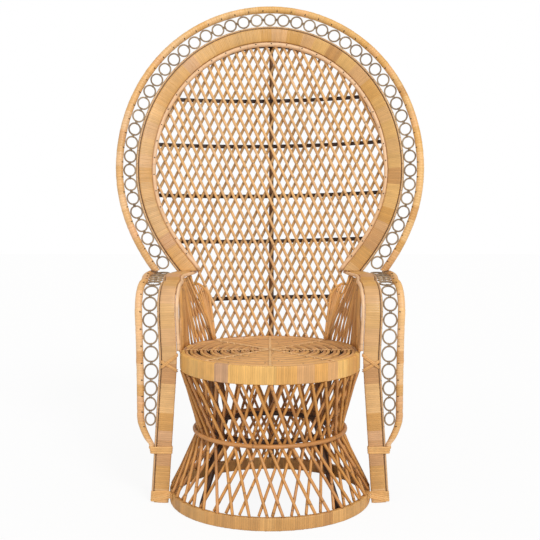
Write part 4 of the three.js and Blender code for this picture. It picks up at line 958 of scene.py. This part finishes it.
def build_base():
    wrap = wound_hoop(FOOT_RADIUS, FOOT_HOOP_THICKNESS, 0, FOOT_HOOP_HEIGHT)
    wrap.make("foot_hoop_wrap", "wrapped_peel", foot_look, "foot_hoop")
    hoop("waist_ring_cane", "round_pole", waist_look, "waist_ring", waist_ring_radius, WAIST_HEIGHT,
         WAIST_RING, knots=WAIST_JOINTS)
    hoop_radius = post_radii[1] - POST / 2 - CLEARANCE - WAIST_HOOP / 2
    hoop("waist_hoop_bent", "dark_pole", dark_look, "waist_hoop", hoop_radius, WAIST_HEIGHT, WAIST_HOOP, 10)
    for i, name in enumerate(("rear_right", "rear_left", "front_left", "front_right")):
        base_post(name, TAU * (i + 0.5) / 4)
    ends = (SEAT_HEIGHT - APRON_HEIGHT - CLEARANCE, FOOT_HOOP_HEIGHT + CLEARANCE)
    per = BASE_CANE_COUNT // BASE_SECTORS
    for layer, radii, way in (("outer", outer_radii, 1), ("inner", inner_radii, -1)):
        for sector in range(BASE_SECTORS):
            piece = Piece()
            for i in range(sector * per, (sector + 1) * per):
                angle = TAU * i / BASE_CANE_COUNT + rng.normal(0, BASE_ANGLE_UNEVEN)
                turned = way * BASE_TWIST * (np.arange(3) + rng.normal(0, BASE_TWIST_UNEVEN, 3))
                spots = [polar(radii[k], angle + turned[k], base_heights[k]) for k in range(3)]
                spots[0][2], spots[2][2] = ends
                woven(piece, bend(spots, 9), BASE_CANE, BASE_THICKNESSES, BASE_JOINTS, polar(1, angle, 0))
            part = f"{layer}_{sector + 1}"
            piece.make(f"base_weave_{part}", "woven_cane", base_look, f"base_canes_{part}")


# Back
def back_outline():
    """Outline of the lattice on the flat shell, hidden behind the border."""
    hidden = -ring_offset - half_band / 2
    arm_top = ARM_REAR_HEIGHT + band_front + BACK_CANE
    frames = FanFrames(np.linspace(neck_length, fan_length, 120))
    fan = frames.flat(hidden)[frames.place(hidden)[:, 2] > arm_top]
    neck = neck_band[0] - half_band
    across = np.linspace(0, CREASE_HALF_WIDTH + LATTICE_OVERLAP, 5)
    foot = [(a, rise_at_height(a, SEAT_HEIGHT - LATTICE_DROP)) for a in across]
    sides = [(neck, bow_end - BAND_THICKNESS), (neck, rise_at_height(0, arm_top))]
    right = np.concatenate([foot, sides, fan])
    return np.concatenate([right, (right[1:-1] * [-1, 1])[::-1]])


def clipped(outline, origin, heading):
    """Longest piece of a line inside an outline, as two distances from its origin."""
    from_origin = outline - origin
    side = from_origin[:, 0] * heading[1] - from_origin[:, 1] * heading[0]
    after, side_after = np.roll(outline, -1, 0), np.roll(side, -1)
    cross = (side < 0) != (side_after < 0)
    t = (side[cross] / (side[cross] - side_after[cross]))[:, None]
    hits = np.sort((outline[cross] + (after[cross] - outline[cross]) * t - origin) @ heading)
    if len(hits) < 2:
        return 0, 0
    longest = 2 * int((hits[1::2] - hits[0::2]).argmax())
    return hits[longest], hits[longest + 1]


def build_lattice():
    outline = back_outline()
    step = LATTICE_PITCH * math.cos(CANE_TILT)
    reach = int(FAN_TOP_RISE / step) + 1
    for layer, side, look in ((1, "front", weave_look), (-1, "rear", shaded_rear_weave_look)):
        heading = np.array([-layer * math.sin(CANE_TILT), math.cos(CANE_TILT)])
        across = np.array([-heading[1], heading[0]])
        halves = [Piece(), Piece()]
        for own in range(-reach, reach + 1):
            origin = np.array([0, FAN_WIDEST_RISE]) + across * (own + 0.5) * step
            first, last = clipped(outline, origin, heading)
            if last - first < SHORTEST_CANE:
                continue
            t = np.linspace(first, last, int((last - first) / 12) + 2)
            drift = rng.normal(0, LATTICE_UNEVEN) + rng.normal(0, LATTICE_WAVER) * np.sin(
                t / rng.uniform(*LATTICE_WAVE) + rng.uniform(0, TAU))
            flat = origin + heading * t[:, None] + across * drift[:, None]
            path = shell(flat[:, 0], flat[:, 1], layer * cane_out + 0 * t)
            woven(halves[own >= 0], path, LATTICE_CANE, LATTICE_THICKNESSES, LATTICE_JOINTS, -Y_AXIS)
        for i, half in enumerate(halves):
            half.make(f"back_weave_{side}_{i + 1}", "woven_cane", look, f"back_canes_{side}_{i + 1}")


def pole_path():
    """Right half of the back frame pole below the fan, from the seat over the crease."""
    neck = neck_frame.place(-ring_offset - POLE_INSET, pole_out)[0]
    straight = np.array([neck[0], neck[1], ARM_REAR_HEIGHT - NECK_POLE_DROP])
    crease_rise = (straight[2] - SEAT_HEIGHT) / 2
    radius = SEAT_RADIUS + CLEARANCE + FRAME_POLE / 2
    angle = math.acos(CREASE_HALF_WIDTH / shell_radius)
    crease = shell(CREASE_HALF_WIDTH + FRAME_POLE, crease_rise, pole_out)
    low, high = (polar(radius, angle, z) for z in (SEAT_HEIGHT - APRON_HEIGHT, SEAT_HEIGHT))
    return np.array([low, high, crease, straight])


def build_slats():
    outline = subdivided(rounded_box(SLAT_THICKNESS, SLAT_HEIGHT, 2.6), 5)
    middle = shell_back - SLAT_THICKNESS / 2
    for i, rise in enumerate(SLAT_RISES):
        lo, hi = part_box(f"back_slat_{i + 1}")
        half = (hi.x - lo.x) / MM / 2
        across = np.linspace(-half, half, 60)
        tilted = rise + SLAT_TILT * across / half
        rows = np.stack([shell(across, tilted + h, middle + o) for o, h in outline], 1)
        Piece().grid(rows, cane_us(across)).make(
            f"back_slat_{i + 1}_lath", "dark_pole", slat_look, f"back_slat_{i + 1}")


def build_back_frame():
    right = pole_path()
    fan = FanFrames(np.linspace(*fan_span, 160)).place(-ring_offset - POLE_INSET, pole_out)
    path = bend(np.concatenate([right, fan, (right * [-1, 1, 1])[::-1]]), 14, 4)
    first, last = np.flatnonzero(path[:, 2] > ARM_REAR_HEIGHT)[[0, -1]]
    cane(Piece(), path[first:last + 1], FRAME_POLE, 14, up=-Y_AXIS, knots=POLE_JOINTS).make(
        "back_pole_bent", "dark_pole", dark_look, "back_frame_pole")
    # The crease poles take the same darker colour, painted shade
    cane(Piece(), path[:first + 1], CREASE_POLE, 12, up=-Y_AXIS, knots=POLE_JOINTS).make_pair(
        "crease_pole", "round_pole", shaded_rear_weave_look)
    build_slats()
    out = shell_back - SLAT_THICKNESS - CLEARANCE - SPINE / 2
    top = FAN_TOP_RISE - ring_offset - POLE_INSET - FRAME_POLE / 2 - CLEARANCE
    seat_y, foot_y = (radius + CLEARANCE + SPINE / 2 for radius in (SEAT_RADIUS, FOOT_RADIUS))
    spots = [
        shell(0, top, out), shell(0, SLAT_RISES[-1] / 2, out), [0, seat_y, SEAT_HEIGHT - SPINE / 2],
        [0, seat_y, SEAT_HEIGHT - APRON_HEIGHT], [0, foot_y, FOOT_HOOP_HEIGHT], [0, foot_y, 0],
    ]
    path = bend(spots, 14, 2) + X_AXIS * SPINE_SHIFT
    cane(Piece(), path, SPINE, 16, up=X_AXIS, knots=SPINE_JOINTS, taper=SPINE_TAPER).make(
        "spine_pole", "dark_pole", spine_look, "spine")


# Border of the fan and the arms
arm_end = ArmFrames(arm_length)
REAR_PLANE = (rear_point, rear_normal)
FLOOR_PLANE = (np.zeros(3), -Z_AXIS)
SEAT_PLANE = (Z_AXIS * (SEAT_HEIGHT + CLEARANCE), -Z_AXIS)

band_edge = half_band - BAND_TRIM
band_section = flat_section(-band_edge, band_edge, border_back, BAND_THICKNESS)
outer_section = half_round(band_edge + GROOVE, outer_edge, border_back, OUTER_THICKNESS)
# A dark strip in the gap between the band and the outer moulding is painted shade
painted_groove_shade_section = flat_section(band_edge - 0.6, band_edge + GROOVE + 0.6, border_back + 0.5, 4.5, 1.0, 0.0)
arm_inner_section, inner_section = (
    half_round(-inner_edge - extra, -band_edge - CLEARANCE, border_back, INNER_THICKNESS)
    for extra in (-1.0, INNER_EXTRA)
)


def fan_border(name, slot, look, section, *nodes, peel=None):
    """Strip of the border round the fan, from arm to arm."""
    start, end = fan_span[0] - FAN_REACH, fan_span[1] + FAN_REACH
    front = max(band_front, section[:, 1].max()) + CLEARANCE
    top_plane = (arm_end.place(0, front)[0], -arm_end.normal[0])
    strip = border(lambda lengths: FanFrames(lengths, -ring_offset), start, end, section, peel, [top_plane])
    strip.make(name, slot, look, *nodes)


def arm_border(name, slot, look, section, *nodes, peel=None, start=-HEEL / 2, plane=FLOOR_PLANE):
    """Strip of the border up each arm, cut off below and where it meets the fan."""
    strip = border(ArmFrames, start, arm_length + ARM_REACH, section, peel, [REAR_PLANE, plane])
    strip.make_pair(name, slot, look, *nodes)


def build_border():
    rim_section = round_section(rim_offset, border_middle, RIM, 20)
    fan_border("fan_rim_wrap", "wrapped_peel", rim_look, rim_section, "fan_rim", peel=RIM_PEEL)
    above_seat = {"start": arm_length_at(SEAT_HEIGHT) - 8, "plane": SEAT_PLANE}
    for name, strip, section, limits in (
        ("fan", fan_border, inner_section, {}), ("arm", arm_border, arm_inner_section, above_seat),
    ):
        strip(f"{name}_band_wrap", "wrapped_peel", band_look, band_section, f"{name}_band", peel=BAND_PEEL)
        moulding = f"{name}_outer_moulding"
        strip(f"{name}_outer_cane", "round_pole", outer_moulding_look, outer_section, moulding)
        # Dark strip in the gap: painted shade
        strip(f"{name}_groove", "dark_pole", painted_groove_shade_look, painted_groove_shade_section)
        strip(f"{name}_inner_cane", "round_pole", moulding_look, section, f"{name}_inner_moulding", **limits)
    pole_section = round_section(0, pole_out, FRAME_POLE, 14)
    arm_border("arm_pole_bent", "dark_pole", dark_look, pole_section, "arm_pole")
    rim_section = round_section(ARM_RIM / 2, border_middle, ARM_RIM, 20)
    ends = arm_length_at(RIM_TIP_HEIGHT), arm_length + ARM_REACH
    border(RimFrames, *ends, rim_section, RIM_PEEL, [REAR_PLANE]).make_pair(
        "arm_rim_wrap", "wrapped_peel", rim_look, "arm_rim")


# Chains of rings, with their knots and nails
def ring_middle(length):
    return ArmFrames(length).place(outer_edge + rim_room(length) / 2, border_middle)[0]


def arm_ring_lengths():
    """Lengths up an arm at which its rings meet."""
    lengths = [arm_length_at(LOWEST_RING_HEIGHT) - LOW_RING_WIDTH / 2]
    while True:
        start = lengths[-1]
        end = start + ring_room(start)
        for _ in range(3):
            chord = (ring_room((start + end) / 2) - 2 * RING_GAP) * RING_LENGTH_SHARE
            end = start + chord * (end - start) / np.linalg.norm(ring_middle(end) - ring_middle(start))
        if end > arm_length - RING_CANE:
            return lengths
        lengths.append(end)


def ring(piece, start, end, facing, width):
    """One ring of cane between two knots, as wide as the room for it."""
    tangent = unit(end - start)
    outward = unit(np.cross(tangent, facing))
    a = circle_angles(30)[:, None]
    half = np.linalg.norm(end - start) / 2 - RING_CANE / 2 - KNOT
    path = (start + end) / 2 + tangent * half * np.cos(a) + outward * (width / 2 - RING_CANE / 2) * np.sin(a)
    cane(piece, path, RING_CANE * rng.uniform(*RING_THICKNESSES), 7, up=facing, loop=True)


def knot_tie(piece, start, end, facing):
    """Turn of split cane that ties a ring to the one before it."""
    tangent = unit(end - start)
    outward = unit(np.cross(tangent, facing))
    a = circle_angles(14)[:, None]
    reach, half = RING_CANE / 2 + KNOT_REACH, RING_CANE + KNOT
    path = start + tangent * half * np.cos(a) + facing * reach * np.sin(a)
    for shift in (-KNOT_SHIFT, KNOT_SHIFT):
        cane(piece, path + outward * shift, KNOT_CANE, 5, up=outward, loop=True)


def build_rings():
    third = round((2 * RINGS_EACH_SIDE + 1) / 3)
    starts = [-RINGS_EACH_SIDE, -RINGS_EACH_SIDE + third, -RINGS_EACH_SIDE + 2 * third, RINGS_EACH_SIDE + 1]
    for name, first, after in zip(("left", "top", "right"), starts, starts[1:]):
        piece = Piece()
        for k in range(first, after):
            frames = FanFrames(fan_length - (np.array([k, k + 1, k + 0.5]) - 0.5) * ring_pitch)
            start, end, _ = frames.place(0, border_middle)
            facing = frames.turned(frames.normal)[2]
            ring(piece, start, end, facing, ring_space - RING_ROOM)
            if k > -RINGS_EACH_SIDE:
                knot_tie(piece, start, end, facing)
        piece.make(f"fan_ring_chain_{name}", "ring_cane", ring_look, f"fan_rings_{name}")
    piece = Piece()
    lengths = arm_ring_lengths()
    for s, t in zip(lengths, lengths[1:]):
        facing = ArmFrames((s + t) / 2).normal[0]
        ring(piece, ring_middle(s), ring_middle(t), facing, rim_room((s + t) / 2) + ARM_RING_EXTRA)
        if s > lengths[0]:
            knot_tie(piece, ring_middle(s), ring_middle(t), facing)
    piece.make_pair("arm_ring_chain", "ring_cane", ring_look, "arm_rings")


def nail(piece, frames, offset, out, length, width):
    """Head of a nail in the border, longer along one way than across it."""
    facing, heading = frames.turned(frames.normal)[0], frames.turned(frames.outward)[0]
    centre = frames.place(offset, out)[0]
    a = circle_angles(8)[:, None]
    rim = heading * np.cos(a) * length / 2 + np.cross(facing, heading) * np.sin(a) * width / 2
    rows = [centre + rim - facing * 0.8, centre + rim, centre + rim * 0.55 + facing * width * 0.3]
    piece.grid(rows, cane_us(np.arange(3)))


def build_nails():
    piece = Piece()
    for k in range(-RINGS_EACH_SIDE, RINGS_EACH_SIDE + 2):
        frames = FanFrames(fan_length - (k - 0.5) * ring_pitch)
        nail(piece, frames, ring_space / 2 + 5.4, border_middle + RIM * 0.43 + 0.9, 7.5, 2.6)
        nail(piece, frames, -ring_space / 2 - NAIL_INSET, border_back + 7, *SMALL_NAIL)
    for length in np.arange(fan_span[0] + 20, fan_span[1], NAIL_PITCH):
        nail(piece, FanFrames(length), -ring_offset - half_band - 5, border_back + 8.8, 4, 4)
    piece.make("fan_nails", "dark_pole", nail_look)
    piece = Piece()
    for length in arm_ring_lengths():
        frames, edge = ArmFrames(length), outer_edge + rim_room(length)
        nail(piece, frames, edge + 4.6, border_middle + ARM_RIM * 0.43 + 0.9, 6.5, 2.6)
        nail(piece, frames, outer_edge - NAIL_INSET, border_back + 7, *SMALL_NAIL)
    piece.make_pair("arm_nails", "dark_pole", nail_look)


# Side panels under the arms
panel_foot = SEAT_HEIGHT + CLEARANCE
panel_front = math.asin(-(FRAME_POLE + CLEARANCE) / shell_radius)
panel_rear = math.acos(CREASE_HALF_WIDTH / shell_radius) - BACK_CANE / shell_radius


def panel_line(share, lean, out):
    """Cane from the seat's edge up to an arm, at a share of the panel's depth."""
    foot_share, top_share = min(share - lean, 1.06), min(share + lean, 1.0)
    foot = polar(PANEL_RADIUS, mix(panel_front, panel_rear, foot_share), panel_foot)
    top = ArmFrames(mix(corner_end, arm_length - PANEL_END, top_share))
    top = top.place(-half_band - PANEL_INSET, border_back - PANEL_DROP)[0]
    side = unit(np.cross(top - foot, Y_AXIS))
    return mix(foot, top, np.linspace(0, 1, 12)[:, None]) + side * out


def corner_line(share, out):
    """Cane that turns the corner from the side panel on to the front of the lattice."""
    foot = CREASE_HALF_WIDTH + mix(10, 5, share)
    across, height = mix(CORNER_TOP, CORNER_TURN, np.array([share, share**1.7]))
    t = np.linspace(0, 1, 14)
    across = mix(foot, across, t**1.15)
    return shell(across, rise_at_height(across, mix(panel_foot, height, t)), out)


def panel_corner(piece):
    """Edge cane and canes of the rounded corner at the rear of a side panel."""
    tops = [corner_line(share, CORNER_OUT)[-1] for share in np.linspace(0, 1, 12)]
    edge = np.concatenate([tops, corner_line(1, CORNER_OUT)[-2::-1]])
    cane(piece, resample(edge, 8), CORNER_EDGE_CANE, 8, knots=140)
    for share in np.linspace(0, 0.8, CORNER_CANES):
        path = corner_line(abs(share + rng.normal(0, 0.02)), CORNER_OUT + 0.6 * rng.normal())
        woven(piece, path, CORNER_CANE, PANEL_THICKNESSES, PANEL_JOINTS, Z_AXIS)


def build_panels():
    for layer, name in ((1, "outer"), (-1, "inner")):
        piece = Piece()
        if name == "inner":
            panel_corner(piece)
        for share in np.linspace(-0.05, 1.02, PANEL_CANES):
            path = panel_line(share + rng.normal(0, PANEL_UNEVEN), layer * PANEL_LEAN, -layer * PANEL_LAYER)
            woven(piece, path, PANEL_CANE, PANEL_THICKNESSES, PANEL_JOINTS, Y_AXIS)
        piece.make_pair(f"arm_weave_{name}", "woven_cane", panel_look, f"arm_canes_{name}")


# Bindings
def hull(points):
    """Convex outline round flat points."""

    def half(order):
        out = []
        for p in order:
            while len(out) > 1 and np.cross(out[-1] - out[-2], p - out[-2]) <= 0:
                out.pop()
            out.append(p)
        return out[:-1]

    points = sorted(points, key=tuple)
    return np.array(half(points) + half(points[::-1]))


def leg_outline(height):
    """Outline of what a binding goes round on a leg: pole, band, outer moulding and rim."""
    skin = TURN_THICKNESS / 2 + CLEARANCE
    rim = ARM_RIM / 2 * rim_share(height)
    discs = [(0, pole_out, FRAME_POLE / 2)]
    discs += [(offset, band_front - 2, 2) for offset in (-half_band + 2, half_band - 2)]
    discs += [(outer_edge - 3, border_back + 4.5, 3)]
    discs += [(outer_edge + rim_room(arm_length_at(height)) + rim, border_middle, rim)]
    return hull([spot for x, y, radius in discs for spot in round_section(x, y, 2 * (radius + skin))])


def leg_turn(piece, height):
    """Turn of peel wound round a leg."""
    frame, outline = ArmFrames(arm_length_at(height)), leg_outline(height)
    path = np.array([frame.place(offset, out)[0] for offset, out in np.vstack([outline, outline[:1]])])
    path[:, 2] = height
    path = resample(path, 3)[:-1]
    strap(piece, path, TURN_WIDTH, TURN_THICKNESS, unit(path[0] - path.mean(0)), loop=True)


def foot_strap(piece, height):
    """Peel laid over a leg's foot and up on to the foot hoop beside it."""
    frame = ArmFrames(arm_length_at(height))
    spots = [(outer_edge + 0.6, border_back + 1), (outer_edge - 0.4, border_back + 8)]
    spots += [(half_band - 2, band_front + 0.9), (-half_band + 4, band_front + 0.9)]
    path = [frame.place(offset, out)[0] for offset, out in spots]
    path += [polar(FOOT_RADIUS + 1.2, -math.radians(angle), height) for angle in (12.5, 15, 18)]
    path = bend(path, 3, 2)
    path[:, 2] = height + 3.2 + FOOT_STRAP_RISE * smooth(np.linspace(0, 1, len(path)))
    path[:, 2] = np.minimum(path[:, 2], FOOT_HOOP_HEIGHT - 3)
    strap(piece, path, *FOOT_STRAP, -Y_AXIS)


def cross_strap(piece, inner_height, outer_height, out):
    """Doubled peel laid aslant over a leg's band, its ends bent back round the band's edges."""
    spots = [(-half_band - 1.4, out - 7, 0), (-half_band - 0.6, out - 0.5, 0.03)]
    spots += [(half_band - 1, out, 0.96), (half_band + 1.6, out - 5, 1)]
    path = []
    for offset, forward, share in spots:
        frame = ArmFrames(arm_length_at(mix(inner_height, outer_height, share)))
        path.append(frame.place(offset, forward)[0])
    path = bend(path, 2.5)
    for shift in (-CROSS_STRAP_SHIFT, CROSS_STRAP_SHIFT):
        facing = ArmFrames(arm_length_at(inner_height)).normal[0]
        strap(piece, path + Z_AXIS * shift, *CROSS_STRAP, facing)


def build_bindings():
    turns, foot, cross = Piece(), Piece(), Piece()
    for height in RIM_TURN_HEIGHTS:
        leg_turn(turns, height)
    turns.make_pair("arm_rim_wraps", "wrapped_peel", tie_look, "arm_rim_binding")
    for height in FOOT_STRAP_HEIGHTS:
        foot_strap(foot, height)
    foot.make_pair("leg_foot_wraps", "wrapped_peel", tie_look)
    for inner_height, outer_height, lift in CROSS_STRAPS:
        cross_strap(cross, inner_height, outer_height, band_front + lift)
    cross.make_pair("arm_cross_strap", "wrapped_peel", tie_look, "arm_seat_binding")


build_seat()
build_base()
build_lattice()
build_back_frame()
build_border()
build_rings()
build_nails()
build_panels()
build_bindings()


# Studio
def stage_floor():
    mesh = bpy.data.meshes.new("floor")
    corners = [(x * FLOOR_HALF, y * FLOOR_HALF, 0) for x, y in ((-1, -1), (1, -1), (1, 1), (-1, 1))]
    mesh.from_pydata(corners, [], [(0, 1, 2, 3)])
    material = bpy.data.materials.new("floor_white")
    nodes = Nodes(material)
    diffuse = nodes.add("ShaderNodeBsdfDiffuse", {0: FLOOR_COLOUR})
    glow = nodes.add("ShaderNodeEmission", {"Strength": 1.0})
    seen = nodes.add("ShaderNodeLightPath").outputs["Is Camera Ray"]
    nodes.put_out("ShaderNodeOutputMaterial", nodes.math("MULTIPLY", seen, FLOOR_GLOW_SHARE), diffuse, glow)
    mesh.materials.append(material)
    floor = linked("floor", mesh)


def world_light():
    world = bpy.data.worlds.new("studio")
    bpy.context.scene.world = world
    nodes = Nodes(world)
    lit = nodes.add("ShaderNodeBackground", {0: WORLD_COLOUR, "Strength": WORLD_LIGHT})
    white = nodes.add("ShaderNodeBackground", {0: (1, 1, 1, 1), "Strength": 1.0})
    path = nodes.add("ShaderNodeLightPath").outputs
    seen = nodes.math("MAXIMUM", path["Is Camera Ray"], path["Is Transmission Ray"])
    nodes.put_out("ShaderNodeOutputWorld", seen, lit, white)


def sun(name, strength, tilt, around, softness):
    light = bpy.data.lights.new(name, "SUN")
    light.energy = strength
    light.angle = math.radians(softness)
    linked(name, light).rotation_euler = (math.radians(tilt), 0, math.radians(around))


def camera():
    data = bpy.data.cameras.new("camera")
    data.sensor_width = 36
    data.lens = CAMERA_LENS
    thing = linked("camera", data)
    thing.location = (0.0, SHIFT[1] * MM - CAMERA_DISTANCE, CAMERA_HEIGHT)
    thing.rotation_euler = (math.radians(90 - CAMERA_PITCH), 0, 0)
    bpy.context.scene.camera = thing


stage_floor()
world_light()
sun("key", strength=1.65, tilt=52, around=26, softness=18)
sun("fill", strength=0.4, tilt=60, around=-40, softness=60)
camera()

scene = bpy.context.scene
scene.view_settings.view_transform = "Standard"
